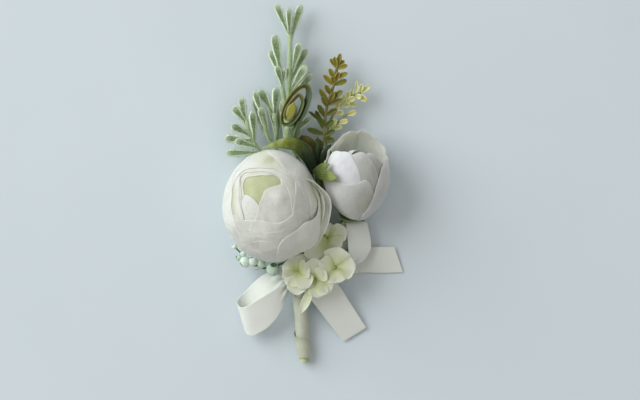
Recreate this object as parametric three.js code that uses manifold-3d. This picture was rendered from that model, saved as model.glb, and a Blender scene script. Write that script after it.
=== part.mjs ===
// A silk boutonniere lying on its back: +Y runs up the stems, +Z is the side that shows when worn.
// Millimetres. The origin is the bottom centre of the whole bunch, on the surface it lies on.
import * as THREE from "three";
import { mergeVertices } from "three/addons/utils/BufferGeometryUtils.js";
import Module from "manifold-3d";

const wasm = await Module();
wasm.setup();

// Driving dimensions
const FIT_GAP = 0.3;
const PETAL_THICKNESS = 0.6;
const FLORET_THICKNESS = 0.6;
const RIBBON_THICKNESS = 0.6;
const LEAF_THICKNESS = 0.7;
const STEM_RADIUS = 0.45;
const CLUB_HALF_THICKNESS = 0.7;
const OVAL_HALF_THICKNESS = 0.6;
const CALYX_THICKNESS = 0.6;
const BOSS_RADIUS = 1.1;

// Taped stem bundle: its centre line from the cut end up to the mouth of the collar
const BUNDLE_LINE = [
  [-3.4, -71.9, 2.3],
  [-3.8, -67, 2.6],
  [-4.2, -62, 2.85],
  [-5, -50, 3.5],
  [-5.4, -43, 4.2],
  [-5.5, -39.5, 4.6],
  [-5.5, -32.4, 4.6],
];
const CORE_RADIUS = 1.95;
const CORE_END_RADIUS = 1.4;
const COLLAR_RADIUS = 3.45;
const COLLAR_BASE_Y = -40.5;
const COLLAR_MOUTH_Y = -32.4;
const CUP_RADIUS = 3.05;
const CUP_DEPTH = 7;
const CUP_CENTRE = { x: -5.5, z: 4.6 };

// Ribbon wound round the stems
const WRAP_TOP_Y = -42;
const WRAP_END_Y = -70.4;
const WRAP_TOP_RADIUS = 2.6;
const WRAP_BULGE_RADIUS = 2.95;
const WRAP_BULGE_Y = -62;
const WRAP_END_RADIUS = 2.15;
const WRAP_PITCH = 17;
const WRAP_STEP = 0.3;
const WRAP_TAPER = 5;
const WRAP_END_HOLE_RADIUS = 1.85;

// Ring of ribbon that ties the bow round the collar
const BAND_OUTER_RADIUS = 4.3;
const BAND_TOP_Y = -34.6;
const BAND_BOTTOM_Y = -40.4;

// Large bloom
const BLOOM_CENTRE = [-16.8, -9, 17.2];
const BLOOM_RADII = [19.4, 22.3, 17.5];
const BLOOM_AXIS = [-0.27, 0.33, 0.905];
const BLOOM_CORE = { centre: [-16, -10, 13.6], radii: [14.8, 17, 11] };

// Half-open bud
const BUD_CENTRE = [17.2, 3.2, 13.2];
const BUD_RADII = [13.2, 18.2, 13.4];
const BUD_AXIS = [0.16, 0.78, 0.6];
const BUD_CORE = { centre: [15.6, -2.6, 9.8], radii: [9, 9, 9] };

const at = (x, y, z) => new THREE.Vector3(x, y, z);
const vectors = (points) => points.map((point) => at(...point));
const radians = THREE.MathUtils.degToRad;
const lerp = THREE.MathUtils.lerp;

const FINISHES = {
  bloomPetal: new THREE.MeshStandardMaterial({ color: 0xf2f1e6, roughness: 0.75 }),
  budPetal: new THREE.MeshStandardMaterial({ color: 0xe6e5e2, roughness: 0.75 }),
  calyx: new THREE.MeshStandardMaterial({ color: 0x6f8a45, roughness: 0.6 }),
  flocked: new THREE.MeshStandardMaterial({ color: 0x8fa886, roughness: 0.95 }),
  olive: new THREE.MeshStandardMaterial({ color: 0x6e6a22, roughness: 0.5 }),
  limeSprig: new THREE.MeshStandardMaterial({ color: 0x93963c, roughness: 0.5 }),
  curl: new THREE.MeshStandardMaterial({ color: 0x35501c, roughness: 0.4 }),
  leaf: new THREE.MeshStandardMaterial({ color: 0x65802f, roughness: 0.5 }),
  brownLeaf: new THREE.MeshStandardMaterial({ color: 0x4b4412, roughness: 0.5 }),
  floret: new THREE.MeshStandardMaterial({ color: 0xdde2c4, roughness: 0.7 }),
  berry: new THREE.MeshStandardMaterial({ color: 0xaccdb4, roughness: 0.6 }),
  ribbon: new THREE.MeshStandardMaterial({ color: 0xe8e8da, roughness: 0.45 }),
  tape: new THREE.MeshStandardMaterial({ color: 0xc9cf9e, roughness: 0.8 }),
};

// Solid from vertices and triangles, turned so that its faces point out
function solidFrom(points, triangles) {
  let volume = 0;
  for (let i = 0; i < triangles.length; i += 3) {
    const [a, b, c] = [points[triangles[i]], points[triangles[i + 1]], points[triangles[i + 2]]];
    volume += a.dot(b.clone().cross(c));
  }
  const faces = volume > 0 ? triangles : [...triangles].reverse();
  const mesh = new wasm.Mesh({
    numProp: 3,
    vertProperties: Float32Array.from(points.flatMap((point) => [point.x, point.y, point.z])),
    triVerts: Uint32Array.from(faces),
  });
  return new wasm.Manifold(mesh);
}

function solidFromGeometry(geometry) {
  geometry.deleteAttribute("normal");
  geometry.deleteAttribute("uv");
  const merged = mergeVertices(geometry, 1e-4);
  const place = merged.getAttribute("position");
  const points = Array.from({ length: place.count }, (_, i) => at(0, 0, 0).fromBufferAttribute(place, i));
  return solidFrom(points, Array.from(merged.index.array));
}

// Skin over a row of rings, closed by a fan at both ends
function loft(rings) {
  const sides = rings[0].length;
  const points = rings.flat();
  const triangles = [];
  for (let row = 0; row < rings.length - 1; row += 1) {
    for (let side = 0; side < sides; side += 1) {
      const a = row * sides + side;
      const b = row * sides + ((side + 1) % sides);
      triangles.push(a, b, b + sides, a, b + sides, a + sides);
    }
  }
  const middle = (ring) => ring.reduce((sum, point) => sum.add(point), at(0, 0, 0)).divideScalar(sides);
  const start = points.length;
  points.push(middle(rings[0]), middle(rings[rings.length - 1]));
  const last = (rings.length - 1) * sides;
  for (let side = 0; side < sides; side += 1) {
    const next = (side + 1) % sides;
    triangles.push(start, next, side, start + 1, last + side, last + next);
  }
  return solidFrom(points, triangles);
}

// Sheet of even thickness over surface(u, t), with u from -1 to 1 and t from 0 to 1
function sheet(surface, across, along, thickness) {
  const nudge = 1e-3;
  const grid = [];
  for (let row = 0; row <= along; row += 1) {
    for (let column = 0; column <= across; column += 1) {
      const u = (column / across) * 2 - 1;
      const t = row / along;
      const slopeU = surface(u + nudge, t).sub(surface(u - nudge, t));
      const slopeT = surface(u, t + nudge).sub(surface(u, t - nudge));
      const normal = slopeU.cross(slopeT).normalize().multiplyScalar(thickness / 2);
      grid.push({ middle: surface(u, t), normal });
    }
  }
  const front = grid.map(({ middle, normal }) => middle.clone().add(normal));
  const back = grid.map(({ middle, normal }) => middle.clone().sub(normal));
  const width = across + 1;
  const count = grid.length;
  const triangles = [];
  for (let row = 0; row < along; row += 1) {
    for (let column = 0; column < across; column += 1) {
      const a = row * width + column;
      const b = a + 1;
      const c = b + width;
      const d = a + width;
      triangles.push(a, b, c, a, c, d);
      triangles.push(count + a, count + c, count + b, count + a, count + d, count + c);
    }
  }
  const rim = [];
  for (let column = 0; column < across; column += 1) rim.push(column);
  for (let row = 0; row < along; row += 1) rim.push(row * width + across);
  for (let column = across; column > 0; column -= 1) rim.push(along * width + column);
  for (let row = along; row > 0; row -= 1) rim.push(row * width);
  rim.forEach((from, i) => {
    const to = rim[(i + 1) % rim.length];
    triangles.push(from, count + from, count + to, from, count + to, to);
  });
  return solidFrom([...front, ...back], triangles);
}

const union = (solids) => wasm.Manifold.union(solids);

// Largest connected body of a solid, with any loose scrap dropped
function mainBody(solid) {
  const bodies = solid.decompose();
  return bodies.reduce((best, body) => (body.volume() > best.volume() ? body : best));
}

// Everything below the surface that the bunch lies on
const BELOW = solidFromGeometry(new THREE.BoxGeometry(300, 300, 40).translate(0, 0, -20));

const smoothLine = (points) => new THREE.CatmullRomCurve3(vectors(points), false, "centripetal");

// Round tube along a smooth line; radiusAt gives its radius from 0 at the start to 1 at the end
function tube(points, radiusAt, sides = 5, steps = 10) {
  const line = smoothLine(points);
  const frames = line.computeFrenetFrames(steps, false);
  const rings = [];
  for (let step = 0; step <= steps; step += 1) {
    const t = step / steps;
    const middle = line.getPointAt(t);
    const radius = radiusAt(t);
    const ring = [];
    for (let side = 0; side < sides; side += 1) {
      const turn = (side / sides) * Math.PI * 2;
      const offset = frames.normals[step].clone().multiplyScalar(Math.cos(turn) * radius);
      offset.add(frames.binormals[step].clone().multiplyScalar(Math.sin(turn) * radius));
      ring.push(middle.clone().add(offset));
    }
    rings.push(ring);
  }
  return loft(rings);
}

// Oval section leaf from base to tip. profile lists [place along, share of the full width].
function leaf(base, tip, halfWidth, halfThickness, profile, sides = 5) {
  const start = at(...base);
  const end = at(...tip);
  const run = end.clone().sub(start);
  const across = run.clone().cross(at(0, 0, 1)).normalize();
  const through = across.clone().cross(run).normalize();
  const rings = profile.map(([place, share]) => {
    const middle = start.clone().addScaledVector(run, place);
    return Array.from({ length: sides }, (_, side) => {
      const turn = (side / sides) * Math.PI * 2;
      const offset = across.clone().multiplyScalar(Math.cos(turn) * halfWidth * share);
      offset.addScaledVector(through, Math.sin(turn) * halfThickness * Math.max(share, 0.3));
      return middle.clone().add(offset);
    });
  });
  return loft(rings);
}

const CLUB_PROFILE = [[0, 0.25], [0.4, 0.45], [0.75, 1], [1, 0.4]];
const OVAL_PROFILE = [[0, 0.25], [0.6, 1], [1, 0.5]];

function part(name, solid, finish, tolerance = 0.05) {
  const mesh = mainBody(solid.simplify(tolerance)).getMesh();
  const geometry = new THREE.BufferGeometry();
  geometry.setAttribute("position", new THREE.Float32BufferAttribute(mesh.vertProperties, 3));
  geometry.setIndex(Array.from(mesh.triVerts));
  const node = new THREE.Mesh(geometry, finish);
  node.name = name;
  return node;
}

// The stems stand in the collar's cup in two rings, with one at its centre
const INNER_RING = 1.2;
const OUTER_RING = 2.25;
const SEAT_CLEARANCE = 0.8;

// First two points of a stem, by its angle round the cup and its ring
function seat(angle, ringRadius) {
  const x = CUP_CENTRE.x + ringRadius * Math.cos(radians(angle));
  const z = CUP_CENTRE.z + ringRadius * Math.sin(radians(angle));
  const foot = COLLAR_MOUTH_Y - CUP_DEPTH + SEAT_CLEARANCE;
  return [[x, foot, z], [x, COLLAR_MOUTH_Y + 0.6, z]];
}

const evenRadius = (radius) => () => radius;
const taper = (from, to) => (t) => lerp(from, to, t);

// Taped stem bundle
function stemCore() {
  const tapered = 0.1;
  const radiusAt = (t) => lerp(CORE_END_RADIUS, CORE_RADIUS, Math.min(t / tapered, 1));
  const shaft = tube(BUNDLE_LINE.slice(0, 6), radiusAt, 12, 12);
  const collarLength = COLLAR_MOUTH_Y - COLLAR_BASE_Y;
  const flare = 1.5;
  const outline = [
    [0, 0], [CORE_RADIUS, 0], [COLLAR_RADIUS, flare], [COLLAR_RADIUS, collarLength],
    [CUP_RADIUS, collarLength], [CUP_RADIUS, collarLength - CUP_DEPTH], [0, collarLength - CUP_DEPTH],
  ].map(([radius, height]) => new THREE.Vector2(radius, height));
  const collar = new THREE.LatheGeometry(outline, 20).translate(CUP_CENTRE.x, COLLAR_BASE_Y, CUP_CENTRE.z);
  return union([shaft, solidFromGeometry(collar)]);
}

// Ribbon sleeve on the stems, its outside stepping up along a spiral where the ribbon overlaps
function stemWrap() {
  const line = smoothLine(BUNDLE_LINE);
  const sides = 12;
  const rows = 12;
  const ringAt = (y, radiusAt) => {
    let share = 0.5;
    for (let step = 0.25; step > 1e-5; step /= 2) {
      share += line.getPoint(share).y < y ? step : -step;
    }
    const middle = line.getPoint(share);
    return Array.from({ length: sides }, (_, side) => {
      const turn = (side / sides) * Math.PI * 2;
      const radius = radiusAt(turn);
      return at(middle.x + Math.cos(turn) * radius, y, middle.z + Math.sin(turn) * radius);
    });
  };
  const shapeRadius = (y) => (y > WRAP_BULGE_Y
    ? lerp(WRAP_BULGE_RADIUS, WRAP_TOP_RADIUS, (y - WRAP_BULGE_Y) / (WRAP_TOP_Y - WRAP_BULGE_Y))
    : lerp(WRAP_END_RADIUS, WRAP_BULGE_RADIUS, Math.sqrt((y - WRAP_END_Y) / (WRAP_BULGE_Y - WRAP_END_Y))));
  const outer = [];
  const inner = [];
  for (let row = 0; row <= rows; row += 1) {
    const y = lerp(WRAP_END_Y, WRAP_TOP_Y, row / rows);
    outer.push(ringAt(y, (turn) => {
      const wound = (WRAP_TOP_Y - y) / WRAP_PITCH + turn / (Math.PI * 2) + 0.1;
      return shapeRadius(y) - WRAP_STEP / 2 + WRAP_STEP * (1 - (wound - Math.floor(wound)));
    }));
  }
  for (let row = -1; row <= rows + 1; row += 1) {
    const y = lerp(WRAP_END_Y, WRAP_TOP_Y, row / rows);
    const fromEnd = THREE.MathUtils.clamp((y - WRAP_END_Y) / WRAP_TAPER, 0, 1);
    inner.push(ringAt(y, () => lerp(WRAP_END_HOLE_RADIUS, CORE_RADIUS + FIT_GAP, fromEnd)));
  }
  return loft(outer).subtract(loft(inner)).subtract(BELOW);
}

function bowBand() {
  const height = BAND_TOP_Y - BAND_BOTTOM_Y;
  const bevel = 0.4;
  const holeRadius = COLLAR_RADIUS + FIT_GAP;
  const outline = [
    [holeRadius, 0], [BAND_OUTER_RADIUS, bevel], [BAND_OUTER_RADIUS, height - bevel], [holeRadius, height],
  ].map(([radius, y]) => new THREE.Vector2(radius, y));
  outline.push(outline[0].clone());
  const ring = new THREE.LatheGeometry(outline, 20).translate(CUP_CENTRE.x, BAND_BOTTOM_Y, CUP_CENTRE.z);
  return solidFromGeometry(ring);
}

// Strip of ribbon between its two long edges
function ribbonStrip(edgeA, edgeB, along, across = 2) {
  const lineA = smoothLine(edgeA);
  const lineB = smoothLine(edgeB);
  const clamped = (line, t) => line.getPoint(THREE.MathUtils.clamp(t, 0, 1));
  const surface = (u, t) => clamped(lineA, t).lerp(clamped(lineB, t), (u + 1) / 2);
  return sheet(surface, across, along, RIBBON_THICKNESS);
}

// Flower petals lie on an oval ball, each a patch between its base and its rim
function flowerFrame(centre, radii, axis) {
  const up = at(...axis).normalize();
  const right = at(1, 0, 0).addScaledVector(up, -up.x).normalize();
  const forward = up.clone().cross(right);
  return (fromTop, round, scale) => {
    const direction = up.clone().multiplyScalar(Math.cos(fromTop));
    direction.addScaledVector(right, Math.sin(fromTop) * Math.cos(round));
    direction.addScaledVector(forward, Math.sin(fromTop) * Math.sin(round));
    return at(
      centre[0] + direction.x * radii[0] * scale,
      centre[1] + direction.y * radii[1] * scale,
      centre[2] + direction.z * radii[2] * scale,
    );
  };
}

// How far the base of a petal dips inwards, to the heart that carries it
const CLAW_DIP = 0.2;
const CLAW_SHARE = 0.18;
// How far the left and right sides of a petal stand in and out of the ball
const PETAL_LIFT = 0.02;

// round: direction of its middle; reach: half its width in degrees; rim and base: how near its two ends
// come to the flower's axis, in degrees; scale: its layer, as a share of the outer ball
function flowerPetal(place, { round, reach, rim, scale, flare = 0, base = 162, across = 4, steps = 4 }) {
  const surface = (u, t) => {
    const rimHere = rim + 14 * u * u * u * u;
    const fromTop = lerp(base, rimHere, t);
    const width = reach * lerp(1.15, 0.9, t);
    const tip = Math.max(0, t - 0.75) * 4;
    const claw = CLAW_DIP * Math.max(0, 1 - t / CLAW_SHARE);
    return place(radians(fromTop), radians(round + u * width), scale + PETAL_LIFT * u + flare * tip * tip - claw);
  };
  return sheet(surface, across, steps, PETAL_THICKNESS);
}

function ringOfPetals(place, count, turned, petal) {
  return Array.from({ length: count }, (_, i) => (
    flowerPetal(place, { ...petal, round: turned + (i * 360) / count })));
}

function bloomPetals() {
  const place = flowerFrame(BLOOM_CENTRE, BLOOM_RADII, BLOOM_AXIS);
  const core = new THREE.SphereGeometry(1, 12, 8).scale(...BLOOM_CORE.radii).translate(...BLOOM_CORE.centre);
  const petals = [
    ...ringOfPetals(place, 5, 20, { reach: 41, rim: 46, scale: 0.985, base: 160, across: 5, steps: 6 }),
    ...ringOfPetals(place, 5, 58, { reach: 41, rim: 33, scale: 0.88, base: 112 }),
    ...ringOfPetals(place, 4, 30, { reach: 50, rim: 24, scale: 0.775, base: 90 }),
    flowerPetal(place, { round: 120, reach: 50, rim: 20, scale: 0.68, base: 82, steps: 3 }),
    flowerPetal(place, { round: 250, reach: 50, rim: 22, scale: 0.68, base: 82, steps: 3 }),
    flowerPetal(place, { round: 350, reach: 36, rim: 14, scale: 0.6, base: 76, steps: 3 }),
    flowerPetal(place, { round: 318, reach: 30, rim: 62, scale: 1.06, base: 150, flare: 0.03 }),
    flowerPetal(place, { round: 342, reach: 26, rim: 68, scale: 1.12, base: 150, flare: 0.06 }),
  ];
  return union([solidFromGeometry(core), ...petals]).subtract(BELOW);
}

function budPetals() {
  const place = flowerFrame(BUD_CENTRE, BUD_RADII, BUD_AXIS);
  const core = new THREE.SphereGeometry(1, 10, 8).scale(...BUD_CORE.radii).translate(...BUD_CORE.centre);
  const petals = [
    flowerPetal(place, { round: 258, reach: 60, rim: 42, scale: 0.98, steps: 5 }),
    flowerPetal(place, { round: 20, reach: 62, rim: 24, scale: 0.98, steps: 5 }),
    flowerPetal(place, { round: 140, reach: 60, rim: 18, scale: 0.98, steps: 5 }),
    flowerPetal(place, { round: 318, reach: 52, rim: 40, scale: 0.89, base: 130 }),
    flowerPetal(place, { round: 80, reach: 50, rim: 12, scale: 0.89, base: 130 }),
    flowerPetal(place, { round: 200, reach: 52, rim: 30, scale: 0.89, base: 130 }),
    flowerPetal(place, { round: 270, reach: 50, rim: 26, scale: 0.79, base: 120 }),
  ];
  return union([solidFromGeometry(core), ...petals]).subtract(BELOW);
}

// Green cup of five pointed lobes under a flower, with its wire stem
function calyx(place, scale, lobeDepth, stemPoints) {
  const cup = sheet((u, t) => {
    const round = 176 * u;
    const rim = 164 - lobeDepth * Math.abs(Math.cos(radians(round * 2.5)));
    return place(radians(lerp(175, rim, t)), radians(round), scale);
  }, 20, 2, CALYX_THICKNESS);
  const foot = place(Math.PI, 0, scale);
  foot.z = Math.max(foot.z, BOSS_RADIUS);
  const boss = new THREE.SphereGeometry(BOSS_RADIUS, 7, 5).translate(foot.x, foot.y, foot.z);
  const stem = tube([...stemPoints, foot.toArray()], evenRadius(STEM_RADIUS + 0.1), 5, 8);
  return union([cup, solidFromGeometry(boss), stem]).subtract(BELOW);
}

// Leafy sprig: a stem and its side branches, with leaves rooted in them
function sprig(stems, leaves, leafShape) {
  const branches = stems.map(({ line, from, to, steps = 12 }) => tube(line, taper(from, to), 4, steps));
  return union([...branches, ...leaves.map(([tip, base, width]) => leafShape(base, tip, width))]);
}

const clubLeaf = (base, tip, halfWidth) => leaf(base, tip, halfWidth, CLUB_HALF_THICKNESS, CLUB_PROFILE);
const ovalLeaf = (base, tip, halfWidth) => leaf(base, tip, halfWidth, OVAL_HALF_THICKNESS, OVAL_PROFILE, 4);

function tallSprig() {
  const main = [
    ...seat(312, OUTER_RING), [2.4, -12, 1.3], [-1, 0, 2.6], [-9.2, 17.2, 7], [-9.8, 30, 7.6],
    [-9.6, 42, 7.6], [-9.3, 59.6, 7],
  ];
  const second = [[-10.4, 20, 6.6], [-11.4, 32.8, 7], [-12.4, 39.6, 7.4], [-12.8, 44.2, 7.4]];
  return sprig([
    { line: main, from: STEM_RADIUS, to: 0.6, steps: 14 },
    { line: second, from: 0.6, to: 0.5, steps: 4 },
    { line: [[-10.3, 16.4, 6.3], [-10, 22.6, 7.4]], from: 1.5, to: 1.2, steps: 3 },
    { line: [[-8.9, 16.4, 6.3], [-8.6, 22.6, 7.4]], from: 1.1, to: 0.9, steps: 3 },
  ], [
    [[-14.8, 72, 6], [-9.5, 59, 7], 1.25],
    [[-9.6, 70.4, 7.8], [-9.5, 58.4, 7], 1.1],
    [[-4.8, 71.6, 6.4], [-9.3, 56.8, 7], 1.4],
    [[-15.6, 59.6, 8], [-12.8, 43.6, 7.4], 1.7],
    [[-17.4, 53.2, 6], [-12.6, 41.6, 7.4], 1.2],
    [[-5.2, 56.4, 8.6], [-8.6, 44, 7.6], 1.4],
    [[-2.4, 54, 6.4], [-9.2, 40.8, 7.6], 1.3],
    [[-2.6, 47.2, 8.4], [-9.4, 36, 7.6], 1.6],
    [[-0.2, 43.8, 6.8], [-9.6, 34, 7.6], 1.5],
    [[-14.6, 47, 9.2], [-12.2, 38.6, 7.4], 1.2],
    [[-11.6, 46, 9], [-12.2, 38.8, 7.4], 1.1],
    [[-0.6, 26.8, 5], [-8.8, 19, 6.8], 1.1],
  ], clubLeaf);
}

function leftSprig() {
  const main = [
    ...seat(252, OUTER_RING), [-1.2, -12, 1.2], [-8, 1, 2.6], [-20.4, 11.6, 5.4], [-25.6, 20.4, 7.6],
    [-26.8, 25.4, 8.2],
  ];
  return sprig([{ line: main, from: STEM_RADIUS, to: 0.5, steps: 13 }], [
    [[-32, 30.6, 8.6], [-26.8, 24.4, 8], 1.5],
    [[-28.8, 34.2, 7.6], [-26.8, 25, 8.2], 1.3],
    [[-24.4, 28.8, 9], [-23.6, 16.8, 6.8], 1.4],
    [[-32.6, 23.2, 9], [-25, 18.8, 7.4], 1.5],
    [[-35.4, 18.1, 7], [-24.6, 17.2, 7], 1.4],
    [[-31.4, 17, 7.4], [-22.4, 14.4, 6.2], 1.5],
    [[-35.2, 12, 5.8], [-21, 12.4, 5.6], 1.3],
  ], clubLeaf);
}

function middleSprig() {
  const main = [
    ...seat(282, OUTER_RING), [0.6, -12, 1.2], [-4.2, 0.4, 2.4], [-15.6, 14.6, 4.8], [-18.6, 20, 6.4],
    [-20.6, 27, 7.6],
  ];
  const side = [[-15.6, 14.6, 4.8], [-14.8, 20, 5.6], [-15.6, 28, 6.6]];
  return sprig([
    { line: main, from: STEM_RADIUS, to: 0.5, steps: 12 },
    { line: side, from: 0.5, to: 0.5, steps: 3 },
  ], [
    [[-21.2, 37.8, 5.6], [-15.8, 27.2, 6.4], 1.5],
    [[-14.8, 38.4, 5.2], [-15.6, 25.6, 6.4], 1.5],
    [[-21.2, 30.4, 8.4], [-17.6, 17.6, 5.8], 1.5],
    [[-23.4, 36.8, 7], [-20.4, 26.2, 7.4], 1.2],
  ], clubLeaf);
}

function oliveSprig() {
  const main = [
    ...seat(330, INNER_RING), [1.4, -22, 3.6], [4.4, -12, 1.6], [3.4, 0, 2.8], [2.8, 11.2, 5.4],
    [4.2, 17, 6.6], [4.6, 22.8, 7.4], [5.6, 30.4, 8], [7.2, 36, 8.2], [8.6, 40.4, 8.2], [9.8, 47.8, 8],
  ];
  return sprig([{ line: main, from: STEM_RADIUS, to: 0.45, steps: 16 }], [
    [[11, 52, 8.2], [9.8, 47, 8], 0.95],
    [[8.4, 50.6, 9], [9.6, 46.6, 8], 0.9],
    [[6.8, 49.8, 7.4], [9.6, 46.2, 8], 0.95],
    [[12.6, 49.2, 7.4], [9.6, 46.4, 8], 0.9],
    [[13.8, 47.2, 8.8], [9.4, 46, 8], 1],
    [[6.4, 45.9, 8.8], [9.1, 41.4, 8.2], 1.1],
    [[4.2, 43.4, 7.8], [8.5, 39.2, 8.2], 1.1],
    [[7.6, 42.8, 9.8], [8.6, 39.2, 8.2], 0.9],
    [[13.8, 44.2, 8.8], [9, 41.8, 8.2], 1.1],
    [[13.6, 41.3, 7.6], [8.6, 39.4, 8.2], 1.1],
    [[4.8, 39.3, 9.2], [7.2, 35.4, 8.2], 1.1],
    [[2.6, 37.8, 7.8], [6.2, 31.8, 8], 1.1],
    [[11.8, 37, 9.2], [6.8, 33.4, 8], 1.2],
    [[11.8, 33.7, 9.8], [6.2, 31.4, 8], 1],
    [[2, 31.4, 8.8], [4.9, 26.4, 7.8], 1.1],
    [[1, 29.2, 7.4], [4.3, 21.4, 7.2], 1],
    [[-1.8, 28.8, 8.6], [4.6, 23.8, 7.6], 0.6],
    [[-2.4, 21.7, 8.4], [4.4, 19.6, 7], 1.1],
    [[8.6, 17, 7.6], [4, 17.8, 6.8], 1.3],
  ], ovalLeaf);
}

function limeSprig() {
  const main = [
    ...seat(30, INNER_RING), [5.2, -11, 3.4], [5.6, 0, 2.8], [5.2, 11, 2.6], [7, 25.2, 4.4],
    [11.6, 31.6, 5.2], [14.4, 33.8, 5.6], [19.2, 36.6, 6],
  ];
  const low = [[6, 19, 3.4], [9, 23.4, 4.4], [12, 26, 5], [14.6, 28.2, 5.2]];
  return sprig([
    { line: main, from: STEM_RADIUS, to: 0.4, steps: 15 },
    { line: low, from: 0.45, to: 0.4, steps: 4 },
  ], [
    [[17.6, 41, 6.6], [17.4, 35.6, 5.9], 0.7],
    [[16, 37.8, 5.2], [14.9, 33.6, 5.6], 0.8],
    [[19.8, 39.8, 7], [18.8, 36.2, 6], 0.9],
    [[23, 39, 6], [19, 36.2, 6], 1],
    [[21.8, 33, 6.6], [17.4, 35.6, 5.9], 1.2],
    [[14.2, 37, 7], [14, 33.2, 5.6], 0.9],
    [[12.4, 35.4, 4.4], [12.2, 31.8, 5.2], 0.9],
    [[14.9, 31.6, 6.8], [11.4, 31, 5.2], 1.1],
    [[12.4, 28.4, 6.4], [9, 28, 4.8], 1.1],
    [[17.4, 31.2, 4.6], [13, 32.4, 5.4], 1.2],
    [[17.4, 28.6, 6], [13.6, 27.4, 5.2], 1.1],
    [[11.8, 22.6, 5.8], [7.8, 22, 4], 1],
  ], ovalLeaf);
}

// Strap leaf that rolls up on itself in the plane of the bunch
const STRAP_HALF_THICKNESS = 0.42;
const STRAP_HALF_WIDTH = 1.1;

function curledLeaf() {
  const stem = [...seat(270, INNER_RING), [1, -11, 2.8], [0.6, 0, 4.2], [-4.4, 11, 7.2]];
  const roll = [
    [-7.6, 17.4, 10.2], [-5.8, 24.8, 11.4], [-3.3, 30, 11.8], [-1.7, 35, 12], [-2.3, 38.4, 12],
    [-4.6, 38.6, 12], [-8, 36, 12], [-11.1, 31, 12], [-12.5, 25.8, 12], [-11.7, 23.6, 12],
    [-9, 23.8, 12.1], [-6, 27, 12.2], [-4.1, 31.8, 12.3], [-4.8, 34.6, 12.4], [-6.2, 35, 12.4],
    [-9.9, 30.4, 12.6], [-10.8, 27, 12.7], [-9.8, 25.7, 12.8], [-7.8, 27.6, 12.9], [-6.6, 30.6, 13],
    [-7.2, 32.4, 13],
  ];
  const line = smoothLine([...stem, ...roll]);
  const steps = 60;
  const rings = [];
  for (let step = 0; step <= steps; step += 1) {
    const t = step / steps;
    const middle = line.getPointAt(t);
    const along = line.getTangentAt(t);
    const across = along.clone().cross(at(0, 0, 1)).normalize();
    const deep = across.clone().cross(along).normalize();
    const spread = THREE.MathUtils.smoothstep(t, 0.3, 0.45);
    const halfThick = lerp(STEM_RADIUS, STRAP_HALF_THICKNESS, spread);
    const halfDeep = lerp(STEM_RADIUS, STRAP_HALF_WIDTH, spread) * (t > 0.95 ? 0.6 : 1);
    rings.push([[1, 0.8], [-1, 0.8], [-1, -0.8], [1, -0.8]].map(([a, b]) => (
      middle.clone().addScaledVector(across, a * halfThick).addScaledVector(deep, b * halfDeep))));
  }
  return loft(rings);
}

const LEAF_CROWN = 0.5;
const PETIOLE_TIP_RADIUS = 0.5;

// Leaf blade between its two edges, with a petiole that carries it
function bladeLeaf(edgeA, edgeB, petiole, options = {}) {
  const { across = 4, along = 6 } = options;
  const lineA = smoothLine(edgeA);
  const lineB = smoothLine(edgeB);
  const clamped = (line, t) => line.getPoint(THREE.MathUtils.clamp(t, 0, 1));
  const surface = (u, t) => {
    const place = clamped(lineA, t).lerp(clamped(lineB, t), (u + 1) / 2);
    place.z += LEAF_CROWN * (1 - u * u) * Math.sin(Math.PI * THREE.MathUtils.clamp(t, 0, 1));
    return place;
  };
  const blade = sheet(surface, across, along, LEAF_THICKNESS);
  return union([blade, tube(petiole, taper(STEM_RADIUS, PETIOLE_TIP_RADIUS), 5, 9)]);
}

function broadLeaf() {
  const upper = [
    [1, 6.6, 7.4], [-0.8, 13.4, 9.6], [-4.2, 16.4, 11.2], [-8, 17.8, 12.6], [-11.8, 17.8, 13.4],
    [-17, 15.4, 13.4],
  ];
  const lower = [
    [-1, 5.8, 7.4], [-4.4, 10.4, 10.4], [-6.4, 13.2, 12.4], [-9.4, 14.4, 13.4], [-13, 14.8, 13.6],
    [-17.2, 14.6, 13.4],
  ];
  const petiole = [...seat(90, INNER_RING), [2.2, -11, 5.2], [1.6, -2, 5.6], [0.4, 6.8, 7.6]];
  return bladeLeaf(upper, lower, petiole);
}

function brownLeaf() {
  const left = [[0.6, 9, 6.4], [-2.6, 12.4, 6.8], [-5.6, 16, 8], [-6, 18.4, 8.8]];
  const right = [[2, 9, 6.2], [1.6, 13.8, 6.8], [0.4, 17.2, 8.2], [-3.6, 19.8, 8.8]];
  const petiole = [...seat(150, INNER_RING), [0.4, -11.4, 4], [2.4, -1, 4.8], [1.4, 9.8, 6.4]];
  return bladeLeaf(left, right, petiole, { along: 5 });
}

function pointedLeaf() {
  const upper = [[1, 4.4, 17], [2.4, 6.6, 19.6], [4, 7.4, 21.4], [6.2, 8, 23]];
  const lower = [[0.8, 3.4, 17], [3, 2, 21], [6, 1.6, 24.6], [9.4, 2, 26.8]];
  const petiole = [...seat(0, 0), [3.2, -11, 3.8], [3, -4, 7.8], [2, 1.4, 12], [1.2, 3.8, 17.2]];
  return bladeLeaf(upper, lower, petiole, { along: 4 });
}

function narrowLeaf() {
  const left = [[2.4, 3.6, 6.6], [2.6, 9, 8.4], [3.6, 13, 9.4], [6.6, 15.8, 10]];
  const right = [[3.8, 3.4, 6.6], [4.6, 8.4, 8.2], [6, 12.4, 9.2], [7.8, 15.4, 9.8]];
  const petiole = [
    ...seat(16, OUTER_RING), [-0.8, -26, 5.9], [4.6, -11, 5.4], [4.8, -3, 5.4], [3.2, 4.2, 6.6],
  ];
  return bladeLeaf(left, right, petiole, { along: 4, across: 2 });
}

const STALK_RADIUS = 0.4;
const WIDEST_AT = 0.62;
const ROOT_SHARE = 0.12;

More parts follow.
